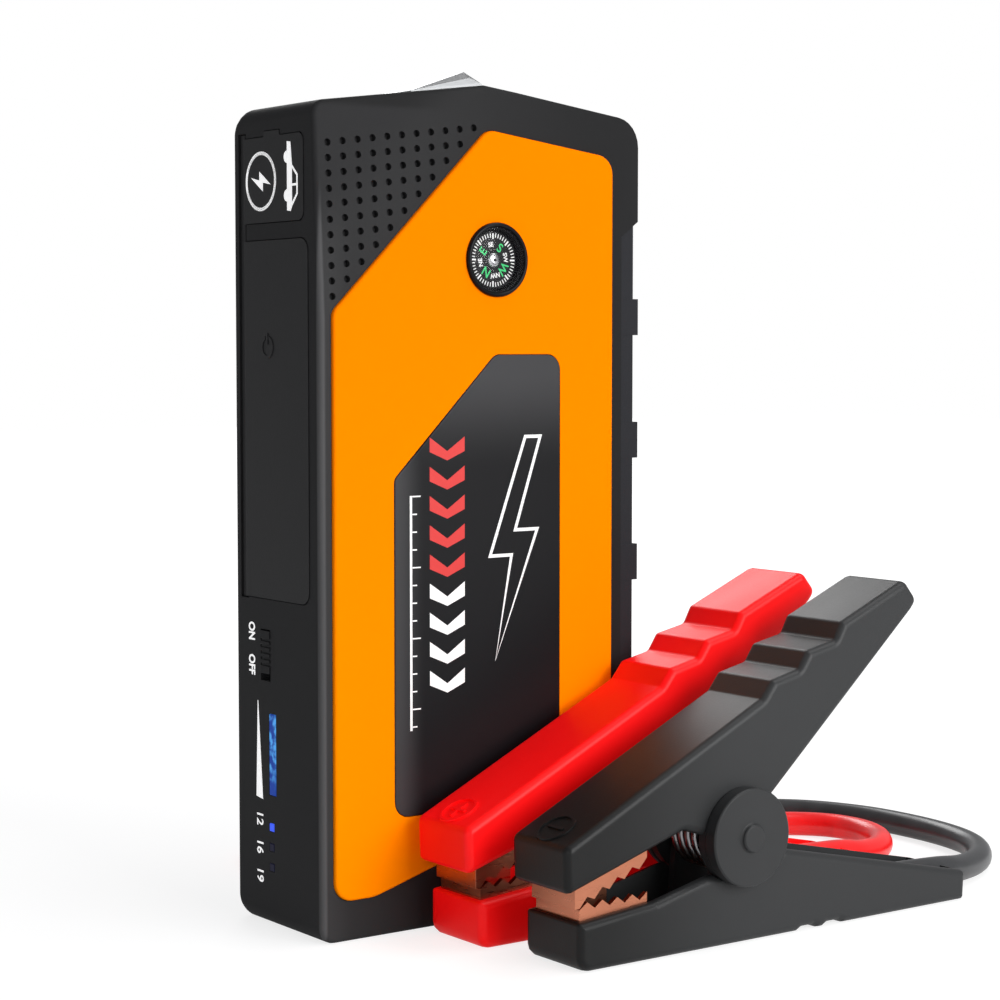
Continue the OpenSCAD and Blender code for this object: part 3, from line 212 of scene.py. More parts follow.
floor_mesh = bmesh.new()
bmesh.ops.create_grid(floor_mesh, x_segments=1, y_segments=1, size=3)
floor_data = bpy.data.meshes.new("studio_floor")
floor_mesh.to_mesh(floor_data)
floor_mesh.free()
floor = bpy.data.objects.new("studio_floor", floor_data)
scene.collection.objects.link(floor)
floor_finish = Finish("studio_floor")
floor_data.materials.append(
    floor_finish.set(Base_Color=(0.94, 0.94, 0.94, 1), Roughness=0.9)
)
glow = floor_finish.add("ShaderNodeEmission", sockets={"Strength": 1.2}, out="Emission")
from_middle = floor_finish.add(
    "ShaderNodeVectorMath", {"operation": "LENGTH"}, {0: floor_finish.where()}, "Value"
)
least_white = 0.65
whiteness = from_middle.step(0.25, 0.6) * (1 - least_white) + least_white
faded = floor_finish.add("ShaderNodeMixShader", sockets={0: whiteness}, out="Shader")
floor_finish.tree.links.new(
    floor_finish.shader.outputs[0], faded.socket.node.inputs[1]
)
floor_finish.tree.links.new(glow.socket, faded.socket.node.inputs[2])
floor_finish.tree.links.new(
    shown_white(floor_finish.tree, faded.socket, floor_finish.shader.outputs[0], 0.6),
    floor_finish.tree.nodes["Material Output"].inputs["Surface"],
)


def lamp(name, place, aim, size, watts, colour=(1, 1, 1)):
    data = bpy.data.lights.new(name, "AREA")
    data.shape = "RECTANGLE"
    data.size, data.size_y = size
    data.energy = watts
    data.color = colour
    light = bpy.data.objects.new(name, data)
    light.location = place
    light.rotation_euler = (
        (Vector(aim) - Vector(place)).to_track_quat("-Z", "Y").to_euler()
    )
    scene.collection.objects.link(light)


lamp("key_lamp", (0.35, -1.3, 0.5), (0, 0, 0.07), (0.9, 0.9), 19)
lamp("edge_lamp", (-0.92, -0.66, 0.2), (0, 0, 0.1), (0.08, 0.9), 2.2)
lamp("rim_lamp", (0.46, 0.92, 0.72), (0.08, -0.05, 0.07), (0.5, 0.4), 3.6)
lamp("top_lamp", (0.5, -0.3, 1.2), (0.1, -0.04, 0.02), (0.6, 0.6), 5)

# ---------------------------------------------------------------------------
# Leads: two fine-stranded copper leads in soft silicone, red and black, 6.4 mm
# thick and about 0.33 m long, crimped in the clamps' copper and joined in a plug.

LEAD_D = 0.0064
BLACK_ROUTE = [
    (0.0610, -0.0605, 0.0064),
    (0.0680, -0.0605, 0.0064),
    (0.0760, -0.0605, 0.0063),
    (0.0900, -0.0605, 0.0059),
    (0.1040, -0.0605, 0.0054),
    (0.1160, -0.0575, 0.0039),
    (0.1290, -0.0510, 0.0033),
    (0.1385, -0.0410, 0.0033),
    (0.1435, -0.0280, 0.0033),
    (0.1450, -0.0120, 0.0033),
    (0.1430, 0.0050, 0.0033),
    (0.1350, 0.0210, 0.0033),
    (0.1190, 0.0330, 0.0033),
    (0.0960, 0.0390, 0.0033),
    (0.0680, 0.0405, 0.0033),
    (0.0420, 0.0400, 0.0033),
    (0.0200, 0.0400, 0.0033),
    (0.0100, 0.0440, 0.0033),
    (0.0060, 0.0540, 0.0033),
    (0.0100, 0.0640, 0.0036),
    (0.0200, 0.0680, 0.0050),
    (0.0290, 0.0680, 0.0056),
    (0.0340, 0.0680, 0.0056),
]
RED_ROUTE = [
    (0.0556, -0.0320, 0.0064),
    (0.0626, -0.0320, 0.0064),
    (0.0706, -0.0320, 0.0063),
    (0.0846, -0.0320, 0.0059),
    (0.0986, -0.0320, 0.0054),
    (0.1090, -0.0305, 0.0039),
    (0.1190, -0.0260, 0.0033),
    (0.1265, -0.0180, 0.0033),
    (0.1295, -0.0080, 0.0033),
    (0.1275, 0.0020, 0.0033),
    (0.1195, 0.0105, 0.0033),
    (0.1060, 0.0170, 0.0033),
    (0.0860, 0.0220, 0.0033),
    (0.0600, 0.0260, 0.0033),
    (0.0320, 0.0280, 0.0033),
    (0.0080, 0.0282, 0.0033),
    (-0.0090, 0.0350, 0.0033),
    (-0.0165, 0.0530, 0.0033),
    (-0.0090, 0.0710, 0.0033),
    (0.0080, 0.0780, 0.0038),
    (0.0200, 0.0786, 0.0051),
    (0.0290, 0.0786, 0.0056),
    (0.0340, 0.0786, 0.0056),
]


def silicone(name, colour, glow=0.0):
    """Soft lead skin: a satin sheen, faint dust and fine ripples. A glow in the skin's
    own colour is painted light."""
    skin = Finish(name)
    dust = skin.grain(160, 4)
    ripple = skin.grain(1500, 3)
    return skin.set(
        Base_Color=skin.blend(
            dust.step(0.35, 0.75), tint(colour, 0.85), tint(colour, 1.12)
        ),
        Roughness=dust * 0.12 + ripple * 0.06 + 0.22,
        Normal=skin.bump(ripple, 0.00004, 0.5),
        Specular_IOR_Level=0.5,
        Emission_Color=(*colour, 1),
        Emission_Strength=glow,
    )


def lead(name, route, finish):
    """A round lead on one smooth curve through the route's points."""
    points = [Vector(p) for p in route]
    curve = bpy.data.curves.new(name, "CURVE")
    curve.dimensions = "3D"
    spline = curve.splines.new("BEZIER")
    spline.bezier_points.add(len(points) - 1)
    for i, point in enumerate(points):
        before = points[max(0, i - 1)]
        after = points[min(len(points) - 1, i + 1)]
        knot = spline.bezier_points[i]
        knot.handle_left_type = knot.handle_right_type = "FREE"
        knot.co = point
        knot.handle_left = point - (after - before) / 6
        knot.handle_right = point + (after - before) / 6
    curve.resolution_u = 8
    curve.bevel_depth = LEAD_D / 2
    curve.bevel_resolution = 8
    curve.use_fill_caps = True
    curve.materials.append(finish)
    piece = bpy.data.objects.new(name, curve)
    scene.collection.objects.link(piece)
    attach(piece, "lead_set")
    return piece


black_lead = lead(
    "lead_black",
    BLACK_ROUTE,
    silicone("lead_black_skin", (0.030, 0.031, 0.033)),
)
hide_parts("black_lead")
# The red lead's skin glows a little: painted light.
red_lead = lead(
    "lead_red",
    RED_ROUTE,
    silicone("lead_red_skin", (0.88, 0.008, 0.009), 0.15),
)
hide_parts("red_lead")

# ---------------------------------------------------------------------------
# Case: one moulded shell of charcoal plastic with a fine satin grain, closed
# from behind by a screwed cover. Its edges are softened by the mould.


def from_solid(node):
    """The solid's own shape as a clean mesh, with its flat areas joined up."""
    shape = bmesh.new()
    shape.from_mesh(solids[node].data)
    bmesh.ops.remove_doubles(shape, verts=shape.verts, dist=2e-6)
    bmesh.ops.dissolve_degenerate(shape, edges=shape.edges, dist=2e-6)
    bmesh.ops.dissolve_limit(
        shape,
        angle_limit=math.radians(0.6),
        verts=shape.verts,
        edges=shape.edges,
        use_dissolve_boundaries=False,
    )
    return shape


def place(name, shape, body, slot, finish, stands_for=(), sharp=32, soften=0.0):
    """Makes a piece of a mesh: creases over so many degrees stay, or are rounded."""
    for face in shape.faces:
        face.smooth = True
    for edge in shape.edges:
        if len(edge.link_faces) == 2:
            edge.smooth = edge.calc_face_angle(0) < math.radians(sharp)
    data = bpy.data.meshes.new(name)
    shape.to_mesh(data)
    shape.free()
    stale = data.attributes.get("custom_normal")
    if stale:
        data.attributes.remove(stale)
    data.materials.append(finish)
    piece = bpy.data.objects.new(name, data)
    scene.collection.objects.link(piece)
    if soften:
        rounding = piece.modifiers.new("rounding", "BEVEL")
        rounding.width = soften
        rounding.segments = 2
        rounding.limit_method = "ANGLE"
        rounding.angle_limit = math.radians(sharp)
        rounding.miter_outer = "MITER_ARC"
        rounding.use_clamp_overlap = True
    evening = piece.modifiers.new("evening", "WEIGHTED_NORMAL")
    evening.keep_sharp = True
    evening.weight = 80
    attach(piece, body)
    if stands_for:
        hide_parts(*stands_for)
    return piece


def refine(node, name, body, slot, finish, sharp=32, soften=0.0):
    """Replaces a solid by its own shape, with a finish and cleaner edges."""
    place(name, from_solid(node), body, slot, finish, [node], sharp, soften)


def dress(node, finish):
    """Gives a solid that shows as it is its finish."""
    solids[node].data.materials.clear()
    solids[node].data.materials.append(finish)


def moulded(name, colour, roughness, grain_scale=3600, depth=0.00002, shine=0.15):
    """Injection-moulded plastic: spark-eroded grain and slightly uneven sheen."""
    plastic = Finish(name)
    cloud = plastic.grain(28, 3)
    grain = plastic.grain(grain_scale, 2)
    return plastic.set(
        Base_Color=plastic.blend(cloud, tint(colour, 0.93), tint(colour, 1.07)),
        Roughness=cloud * 0.08 + grain * 0.1 + (roughness - 0.09),
        Normal=plastic.bump(grain, depth, 0.6),
        Specular_IOR_Level=shine,
    )


case_plastic = moulded("case_plastic", (0.016, 0.016, 0.017), 0.68)


def body_plastic():
    """The case's plastic, with painted light: painted shade darkens the roof, the front
    face is painted paler towards the port side and darker towards the flank, and a
    painted highlight runs along the edge between them."""
    plastic = Finish("case_body_plastic")
    cloud = plastic.grain(28, 3)
    grain = plastic.grain(3600, 2)
    across, deep, high = [plastic.along(axis) for axis in "XYZ"]
    # Painted shade: the roof is darker.
    roof = high.step(0.1845, 0.1862)
    front = deep.step(-0.0165, -0.0174)
    # Painted light and shade on the front face: paler towards the port side, darker
    # towards the flank.
    past_port_edge = across.step(-0.0445, -0.036)
    towards_flank = across.step(-0.034, 0.04)
    # Painted highlight: a pale line along the edge between the front and the port side.
    port_edge = across.step(-0.0434, -0.0441) * deep.step(-0.0163, -0.017)

    plain = plastic.blend(
        cloud, (0.0149, 0.0149, 0.0158, 1), (0.0171, 0.0171, 0.0182, 1)
    )
    plain = plastic.blend(roof, plain, (0.0075, 0.0075, 0.008, 1))
    front_painted_light = plastic.blend(
        past_port_edge, (0.029, 0.029, 0.03, 1), (0.0195, 0.0195, 0.0203, 1)
    )
    front_painted_light = plastic.blend(towards_flank, front_painted_light, (0.0085, 0.0086, 0.0092, 1))
    colour = plastic.blend(front, plain, front_painted_light)
    return plastic.set(
        Base_Color=plastic.blend(
            port_edge * (cloud * 0.3 + 0.75), colour, (0.075, 0.075, 0.077, 1)
        ),
        Roughness=cloud * 0.08 + grain * 0.1 + 0.59,
        Normal=plastic.bump(grain, 0.00002, 0.6),
        Specular_IOR_Level=0.15,
    )


refine(
    "case_shell",
    "case_body",
    "pack",
    "case_plastic",
    body_plastic(),
    sharp=34,
    soften=0.00022,
)
refine("rear_cover", "case_back", "pack", "case_plastic", case_plastic, soften=0.0004)

# ---------------------------------------------------------------------------
# Screws: self-tapping, with a cross-head, zinc-plated, four sunk in the back
# cover and two in the board.


def metal(name, colour, roughness, stretch=(1, 1, 1), scale=900, depth=0.00001):
    """Bare or plated metal with fine tooling marks."""
    surface = Finish(name)
    marks = surface.grain(scale, 3, stretch)
    stain = surface.grain(120, 3)
    return surface.set(
        Base_Color=surface.blend(stain, tint(colour, 0.86), tint(colour, 1.1)),
        Metallic=1.0,
        Roughness=marks * 0.18 + (roughness - 0.09),
        Normal=surface.bump(marks, depth, 0.5),
    )


screw_zinc = metal("screw_zinc", (0.55, 0.56, 0.58), 0.35)
for number in (1, 2, 3, 4):
    refine(
        f"case_screw_{number}",
        f"back_screw_{number}",
        "pack",
        "screw_steel",
        screw_zinc,
        soften=0.0001,
    )
for number in (1, 2):
    dress(f"board_screw_{number}", screw_zinc)

# ---------------------------------------------------------------------------
# Flank grip: a soft rubber pad with four stop blocks, pressed in the recess
# of the right-hand flank, slightly bluer than the case.

grip_rubber = moulded("grip_rubber", (0.013, 0.0135, 0.0165), 0.62, 2400, 0.00004)
refine("side_grip", "flank_grip", "pack", "grip_rubber", grip_rubber, soften=0.0007)

# ---------------------------------------------------------------------------
# Front panel: a bright orange plate with a cut corner, let into the front of
# the case. Its orange is painted a little deeper towards the top, as painted shade.

panel = Finish("panel_orange")
panel_grain = panel.grain(2600, 2)
# Painted shade: the orange is deeper towards the top.
panel_orange = panel.set(
    Base_Color=panel.blend(
        panel.along("Z").step(0.0, 0.18), (0.96, 0.245, 0.0, 1), (0.96, 0.194, 0.0, 1)
    ),
    Roughness=panel_grain * 0.08 + 0.36,
    Normal=panel.bump(panel_grain, 0.000012, 0.4),
    Specular_IOR_Level=0.0,
)
refine("front_panel", "orange_panel", "pack", "panel_orange", panel_orange, sharp=50)

# ---------------------------------------------------------------------------
# Badge plate: gloss black, cut to follow the panel. It carries a plain printed
# pattern: a column of chevrons, a ticked line and the outline of a spark.

badge = Finish("badge_gloss")
badge_sheen = badge.grain(40, 2)
# Painted reflection: the black is paler high up and towards the port side.
badge_reflection_high = badge.along("Z").step(0.104, 0.128)
badge_reflection_port_side = badge.along("X").step(-0.018, -0.0265)
badge_gloss = badge.set(
    Base_Color=badge.blend(
        badge_reflection_high.larger(badge_reflection_port_side) * (badge_sheen * 0.2 + 0.9),
        (0.005, 0.005, 0.006, 1),
        (0.042, 0.042, 0.044, 1),
    ),
    Roughness=badge_sheen * 0.06 + 0.3,
    Normal=badge.bump(badge.grain(90, 2), 0.00002, 0.3),
    Specular_IOR_Level=0.12,
)
refine("badge_plate", "badge", "pack", "badge_gloss", badge_gloss, sharp=50)

FRONT_UP = Matrix(((1, 0, 0), (0, 0, -1), (0, 1, 0)))  # reads across the front
INK = 0.04  # thickness of a print; like all prints, in millimetres
MM = 0.001  # in metres


def ink(name, colour, glow=0.0):
    """Screen-printed ink, slightly speckled; a glow in its own colour is painted light.
    """
    print_coat = Finish(name)
    speckle = print_coat.grain(5000, 1)
    return print_coat.set(
        Base_Color=print_coat.blend(speckle, tint(colour, 0.9), tint(colour, 1.0)),
        Roughness=speckle * 0.1 + 0.45,
        Emission_Color=colour,
        Emission_Strength=glow,
    )


def lay(shape, turn, origin, narrow=1.0):
    """Turns a shape drawn in millimetres to its face, and scales it to metres."""
    bmesh.ops.scale(shape, verts=shape.verts, vec=(MM * narrow, MM, MM))
    bmesh.ops.transform(
        shape,
        matrix=Matrix.Translation(Vector(origin) * MM) @ turn.to_4x4(),
        verts=shape.verts,
    )


def lay_print(name, shape, turn, origin, body, slot, finish):
    """Gives a flat shape the thickness of the ink, and lays it on a face."""
    grown = bmesh.ops.extrude_face_region(shape, geom=shape.faces[:])
    bmesh.ops.delete(
        shape,
        geom=[f for f in shape.faces if f.is_valid and f.normal.z < -0.5],
        context="FACES_ONLY",
    )
    bmesh.ops.translate(
        shape,
        verts=[v for v in grown["geom"] if isinstance(v, bmesh.types.BMVert)],
        vec=(0, 0, INK),
    )
    bmesh.ops.recalc_face_normals(shape, faces=shape.faces)
    lay(shape, turn, origin)
    place(name, shape, body, slot, finish)


def printed(name, outlines, turn, origin, body, slot, finish):
    """Thin raised print from flat outlines."""
    shape = bmesh.new()
    for outline in outlines:
        shape.faces.new([shape.verts.new((x, y, 0)) for x, y in outline])
    bmesh.ops.recalc_face_normals(shape, faces=shape.faces)
    for face in shape.faces:
        face.normal_update()
        if face.normal.z < 0:
            face.normal_flip()
    lay_print(name, shape, turn, origin, body, slot, finish)


BADGE_Y = -19.3  # the plate's face
white_ink = ink("white_ink", (0.95, 0.95, 0.95, 1))
red_ink = ink("red_ink", (0.62, 0.015, 0.012, 1))
left, middle, right = -17.0, -12.2, -7.4
stroke = 3.3
chevrons = {"red": [], "white": []}
for i in range(9):
    top = 112 - i * 6.6
    chevrons["red" if i < 5 else "white"].append(
        [
            (left, top),
            (middle, top - 3.2),
            (right, top),
            (right, top - stroke),
            (middle, top - 5.3),
            (left, top - stroke),
        ]
    )
for colour, finish in (("red", red_ink), ("white", white_ink)):
    printed(
        f"badge_chevrons_{colour}",
        chevrons[colour],
        FRONT_UP,
        (0, BADGE_Y, 0),
        "pack",
        "badge_gloss",
        finish,
    )
ticked_line = [[(-22.4, 99), (-21.8, 99), (-21.8, 46), (-22.4, 46)]]
for i in range(14):
    z = 98.7 - i * 4.0
    tip = -21.7 + (1.2 if i % 4 else 2.2)
    ticked_line.append([(-21.7, z), (-21.7, z + 0.3), (tip, z + 0.3), (tip, z)])
printed(
    "badge_ticked_line",
    ticked_line,
    FRONT_UP,
    (0, BADGE_Y, 0),
    "pack",
    "badge_gloss",
    white_ink,
)
spark = [(9.5, 112), (-0.8, 84), (5.4, 84), (1.2, 60)]
spark += [(13.8, 90.5), (7.4, 90.5), (14.6, 112)]


def outlined(points, width):
    """A closed line of a given width round the points, as four-cornered pieces."""
    corners = [Vector(p) for p in points]
    count = len(corners)
    inner = []
    for i, corner in enumerate(corners):
        a = (corner - corners[i - 1]).normalized()
        b = (corners[(i + 1) % count] - corner).normalized()
        n1, n2 = Vector((a.y, -a.x)), Vector((b.y, -b.x))
        inner.append(corner - (n1 + n2) / max(0.35, 1 + n1.dot(n2)) * width)
    return [
        [corners[i], corners[(i + 1) % count], inner[(i + 1) % count], inner[i]]
        for i in range(count)
    ]


printed(
    "badge_spark",
    outlined(spark, 0.75),
    FRONT_UP,
    (0, BADGE_Y, 0),
    "pack",
    "badge_gloss",
    white_ink,
)

# ---------------------------------------------------------------------------
# Compass: a gloss black cup with a turned bezel, a magnetic dial card that
# turns on the cup's point under a bright hub, and a domed clear lens.

COMPASS = Vector((1.8, 0, 152.1))


def turned(profile, centre):
    """A round shape about the front-to-back axis from (radius, depth) points."""
    shape = bmesh.new()
    points = [shape.verts.new((centre[0] + r, y, centre[2])) for r, y in profile]
    edges = [shape.edges.new(pair) for pair in zip(points, points[1:])]
    bmesh.ops.spin(
        shape,
        geom=points + edges,
        cent=(centre[0], 0, centre[2]),
        axis=(0, 1, 0),
        angle=math.tau,
        steps=64,
        use_merge=True,
    )
    bmesh.ops.remove_doubles(shape, verts=shape.verts, dist=1e-4)
    bmesh.ops.recalc_face_normals(shape, faces=shape.faces)
    bmesh.ops.scale(shape, verts=shape.verts, vec=(MM, MM, MM))
    return shape


def words(text, size, turn, origin, body, slot, finish, name, bold, narrow=1.0):
    """Letters of the plainest kind, as thick as the ink."""
    letters = bpy.data.curves.new(name, "FONT")
    letters.body = text
    letters.size = size
    letters.align_x = "CENTER"
    letters.align_y = "CENTER"
    letters.offset = bold
    letters.extrude = INK / 2
    helper = bpy.data.objects.new(name, letters)
    scene.collection.objects.link(helper)
    bpy.context.view_layer.update()
    data = bpy.data.meshes.new_from_object(
        helper.evaluated_get(bpy.context.evaluated_depsgraph_get())
    )
    bpy.data.objects.remove(helper)
    shape = bmesh.new()
    shape.from_mesh(data)
    bpy.data.meshes.remove(data)
    bmesh.ops.remove_doubles(shape, verts=shape.verts, dist=1e-4)
    lay(shape, turn, origin, narrow)
    place(name, shape, body, slot, finish)


cup_gloss = moulded(
    "compass_gloss", (0.004, 0.004, 0.005), 0.22, grain_scale=500, depth=4e-6, shine=0.1
)
place(
    "compass_housing",
    turned(
        [
            (0.0, -13.6),
            (7.9, -13.6),
            (7.9, -19.0),
            (8.5, -19.0),
            (8.5, -19.55),
            (8.3, -19.85),
            (7.95, -20.0),
            (7.65, -19.95),
            (7.45, -19.75),
            (7.4, -19.2),
            (7.0, -19.2),
            (7.0, -14.4),
            (0.8, -14.4),
            (0.8, -16.95),
            (0.3, -17.0),
            (0.3, -18.0),
            (0.0, -18.15),
        ],
        COMPASS,
    ),
    "pack",
    "compass_black",
    cup_gloss,
    ["compass_cup"],
    sharp=60,
)
dial_black = moulded("compass_dial", (0.012, 0.012, 0.014), 0.5)
refine(
    "compass_card",
    "compass_dial",
    "compass_needle",
    "compass_dial",
    dial_black,
    soften=0.00005,
)
DIAL_Y = -17.6  # the card's face
# Painted light: the dial's white ink glows.
dial_ink = ink("dial_ink", (0.95, 0.95, 0.95, 1), glow=0.3)
ticks = []
for i in range(48):
    angle = i * math.tau / 48
    out = Vector((math.cos(angle), math.sin(angle)))
    half_width, start = (0.11, 5.15) if i % 6 else (0.19, 4.8)
    side = Vector((-out.y, out.x)) * half_width
    low, high = out * start, out * 6.1
    ticks.append([low - side, high - side, high + side, low + side])
printed(
    "compass_ticks",
    ticks,
    FRONT_UP,
    (COMPASS.x, DIAL_Y, COMPASS.z),
    "compass_needle",
    "compass_dial",
    dial_ink,
)
# Painted light: the green ink glows.
green_ink = ink("green_ink", (0.04, 0.66, 0.2, 1), glow=0.35)
for marks, first_angle, size, finish, radius in (
    (("N", "E", "S", "W"), 235, 2.9, green_ink, 3.3),
    (("NE", "SE", "SW", "NW"), 190, 1.5, dial_ink, 3.5),
):
    for i, mark in enumerate(marks):
        a = math.radians((first_angle - 90 * i) % 360)
        words(
            mark,
            size,
            FRONT_UP @ Matrix.Rotation(a - math.pi / 2, 3, "Z"),
            (
                COMPASS.x + radius * math.cos(a),
                DIAL_Y - INK / 2,
                COMPASS.z + radius * math.sin(a),
            ),
            "compass_needle",
            "compass_dial",
            finish,
            f"compass_letter_{mark.lower()}",
            bold=0.04,
        )
hub_metal = metal("compass_hub", (0.8, 0.8, 0.82), 0.2)
place(
    "compass_hub",
    turned(
        [(1.7, -17.62), (1.7, -18.0), (1.45, -18.3), (0.85, -18.42), (0.36, -18.45)],
        COMPASS,
    ),
    "compass_needle",
    "compass_dial",
    hub_metal,
    sharp=60,
)

lens = Finish("compass_clear")
lens_clear = lens.set(
    Base_Color=(0.01, 0.01, 0.012, 1),
    Roughness=lens.grain(60, 2) * 0.01 + 0.1,
    Alpha=0.12,
    Specular_IOR_Level=0.6,
)
refine("compass_lens", "compass_dome", "pack", "compass_glass", lens_clear, sharp=50)

# ---------------------------------------------------------------------------
# Window breaker: a faceted point of hardened steel on a base let into the
# roof, dull from grinding.

breaker_steel = metal(
    "breaker_steel", (0.26, 0.265, 0.27), 0.36, (1, 8, 1), scale=300, depth=2e-5
)
refine(
    "window_breaker", "breaker_point", "pack", "breaker_steel", breaker_steel, sharp=8
)

# ---------------------------------------------------------------------------
# Rubber covers: two flaps and the strip that they fold on, one soft black
# moulding. The upper one is printed with a spark in a ring and a car, the long
# one has a raised power sign over the button.

cover_rubber = moulded("cover_rubber", (0.021, 0.021, 0.022), 0.55, 3000, 0.00003)
for node, name, body in (
    ("engine_flap", "upper_flap", "engine_flap_body"),
    ("port_cover", "long_cover", "port_cover_body"),
    ("hinge_strip", "fold_strip", "pack"),
):
    refine(node, name, body, "cover_rubber", cover_rubber, sharp=38, soften=0.0002)

SIDE_DOWN = Matrix(((0, 0, -1), (0, -1, 0), (-1, 0, 0)))  # reads down the port side
FLAP_X = -45.15  # the flap's face
# Painted light: the side's white ink glows.
side_ink = ink("side_ink", (0.98, 0.98, 0.98, 1), glow=0.45)
flap_ring = bmesh.new()
ring_edges = []
for radius in (6.65, 5.9):
    circle = bmesh.ops.create_circle(flap_ring, segments=64, radius=radius)
    ring_edges += list({e for v in circle["verts"] for e in v.link_edges})
bmesh.ops.bridge_loops(flap_ring, edges=ring_edges)
lay_print(
    "flap_ring",
    flap_ring,
    SIDE_DOWN,
    (FLAP_X, 6.5, 169.4),
    "engine_flap_body",
    "cover_rubber",
    side_ink,
)
flap_spark = [(-168.5, -2.2), (-171.6, -7.1), (-169.6, -7.1), (-170.4, -10.8)]
flap_spark += [(-167.1, -5.6), (-169.1, -5.6)]
WHEEL_R, SILL, WAIST, ROOF = 1.35, 4.9, 7.0, 8.9
wheel_arches = [
    (x - WHEEL_R * math.cos(a), SILL - WHEEL_R * math.sin(a))
    for x in (-174.2, -165.7)
    for a in [math.radians(turn) for turn in range(0, 181, 15)]
]
car_body = [(-177.6, SILL), *wheel_arches, (-162.4, SILL), (-162.2, 6.4)]
car_body += [(-163.2, WAIST), (-172.4, WAIST), (-177.4, 6.4)]
windscreen = [(-172.4, WAIST), (-171.7, WAIST), (-169.9, ROOF), (-170.2, 9.4)]
car_roof = [(-170.2, 9.4), (-169.9, ROOF), (-166.0, ROOF), (-165.8, 9.4)]
rear_window = [(-165.8, 9.4), (-166.0, ROOF), (-164.1, WAIST), (-163.2, WAIST)]
door_post = [(-168.2, WAIST), (-167.7, WAIST), (-167.7, ROOF), (-168.2, ROOF)]
printed(
    "flap_signs",
    [flap_spark, car_body, windscreen, car_roof, rear_window, door_post],
    SIDE_DOWN,
    (FLAP_X, 0, 0),
    "engine_flap_body",
    "cover_rubber",
    side_ink,
)

# ---------------------------------------------------------------------------
# Switches: a ribbed slide knob in a slot, with its metal can behind the wall,
# and the power button under the long cover.

switch_plastic = moulded("switch_plastic", (0.016, 0.016, 0.017), 0.55, shine=0.08)
refine(
    "switch_knob",
    "slide_switch_knob",
    "slide_knob",
    "switch_plastic",
    switch_plastic,
    soften=0.00012,
)
refine(
    "power_button",
    "power_push_button",
    "push_button",
    "switch_plastic",
    switch_plastic,
    soften=0.0003,
)
dress("switch_body", metal("switch_can", (0.62, 0.63, 0.62), 0.32))
SIDE_X = -45.0  # the port side's face
for text, z in (("ON", 67.3), ("OFF", 59.6)):
    words(
        text,
        3.7,
        SIDE_DOWN,
        (SIDE_X, 12.2, z),
        "pack",
        "case_plastic",
        side_ink,
        f"sign_{text.lower()}",
        bold=0.12,
        narrow=0.72,
    )

# ---------------------------------------------------------------------------
# Charge gauge and voltage lights: clear blue light guides let into the wall,
# beside a printed wedge and the three voltages.

gauge = Finish("gauge_blue")
gauge_patch = gauge.grain(420, 3).step(0.42, 0.62)
gauge_level = gauge.along("Z").step(0.031, 0.038)
gauge_blue = gauge.set(
    Base_Color=(0.002, 0.008, 0.06, 1),
    Roughness=0.4,
    Specular_IOR_Level=0.1,
    Emission_Color=gauge.blend(
        gauge_patch * gauge_level, (0.004, 0.045, 0.33, 1), (0.10, 0.45, 1.0, 1)
    ),
    Emission_Strength=0.8,
)
refine("gauge_light", "charge_gauge", "pack", "gauge_blue", gauge_blue, soften=0.0002)
lights = Finish("voltage_blue")
lights_lit = lights.along("Z").step(0.0205, 0.0207)
voltage_blue = lights.set(
    Base_Color=(0.004, 0.004, 0.012, 1),
    Roughness=0.4,
    Specular_IOR_Level=0.1,
    Emission_Color=lights.blend(
        lights_lit, (0.001, 0.001, 0.012, 1), (0.05, 0.12, 1.0, 1)
    ),
    Emission_Strength=0.9,
)
refine(
    "voltage_lights",
    "voltage_light_comb",
    "pack",
    "gauge_blue",
    voltage_blue,
    soften=0.0002,
)
printed(
    "gauge_wedge",
    [[(-51.6, -9.4), (-29.0, -7.5), (-29.4, -10.4), (-51.6, -9.6)]],
    SIDE_DOWN,
    (SIDE_X, 0, 0),
    "pack",
    "case_plastic",
    side_ink,
)
for text, z in (("12", 24.4), ("16", 17.85), ("19", 11.3)):
    words(
        text,
        3.9,
        SIDE_DOWN,
        (SIDE_X, 9.0, z),
        "pack",
        "case_plastic",
        side_ink,
        f"volts_{text}",
        bold=0.06,
        narrow=0.9,
    )

# ---------------------------------------------------------------------------
# Inside the pack: board, sockets, cells with their pads and links, and wires.
# Those that need no rounded edges keep their solids.

board = Finish("board_mask")
board_turned = board.add(
    "ShaderNodeMapping",
    sockets={"Vector": board.where(), "Rotation": (math.radians(90), 0, 0)},
)
board_cells = board.add(
    "ShaderNodeTexBrick",
    {"offset": 0.5},
    {
        "Vector": board_turned,
        "Color1": (0.012, 0.13, 0.045, 1),
        "Color2": (0.010, 0.10, 0.036, 1),
        "Mortar": (0.03, 0.26, 0.09, 1),
        "Scale": 180,
        "Mortar Size": 0.03,
    },
    out="Color",
)
board_mask = board.set(Base_Color=board_cells, Roughness=board.grain(300) * 0.1 + 0.25)
dress("main_board", board_mask)

foil = Finish("cell_foil")
foil_creases = foil.grain(90, 5)
cell_foil = foil.set(
    Base_Color=foil.blend(foil_creases, (0.5, 0.52, 0.55, 1), (0.66, 0.68, 0.7, 1)),
    Metallic=0.9,
    Roughness=foil_creases * 0.25 + 0.22,
    Normal=foil.bump(foil_creases, 0.0003, 0.5),
)
for number in (1, 2, 3):
    dress(f"battery_cell_{number}", cell_foil)

foam = Finish("pad_foam")
foam_pores = foam.grain(1800, 3)
pad_foam = foam.set(
    Base_Color=foam.blend(foam_pores, (0.05, 0.05, 0.055, 1), (0.14, 0.14, 0.15, 1)),
    Roughness=0.95,
    Normal=foam.bump(foam_pores, 0.0002, 0.8),
)
dress("cell_pad_front", pad_foam)
dress("cell_pad_back", pad_foam)

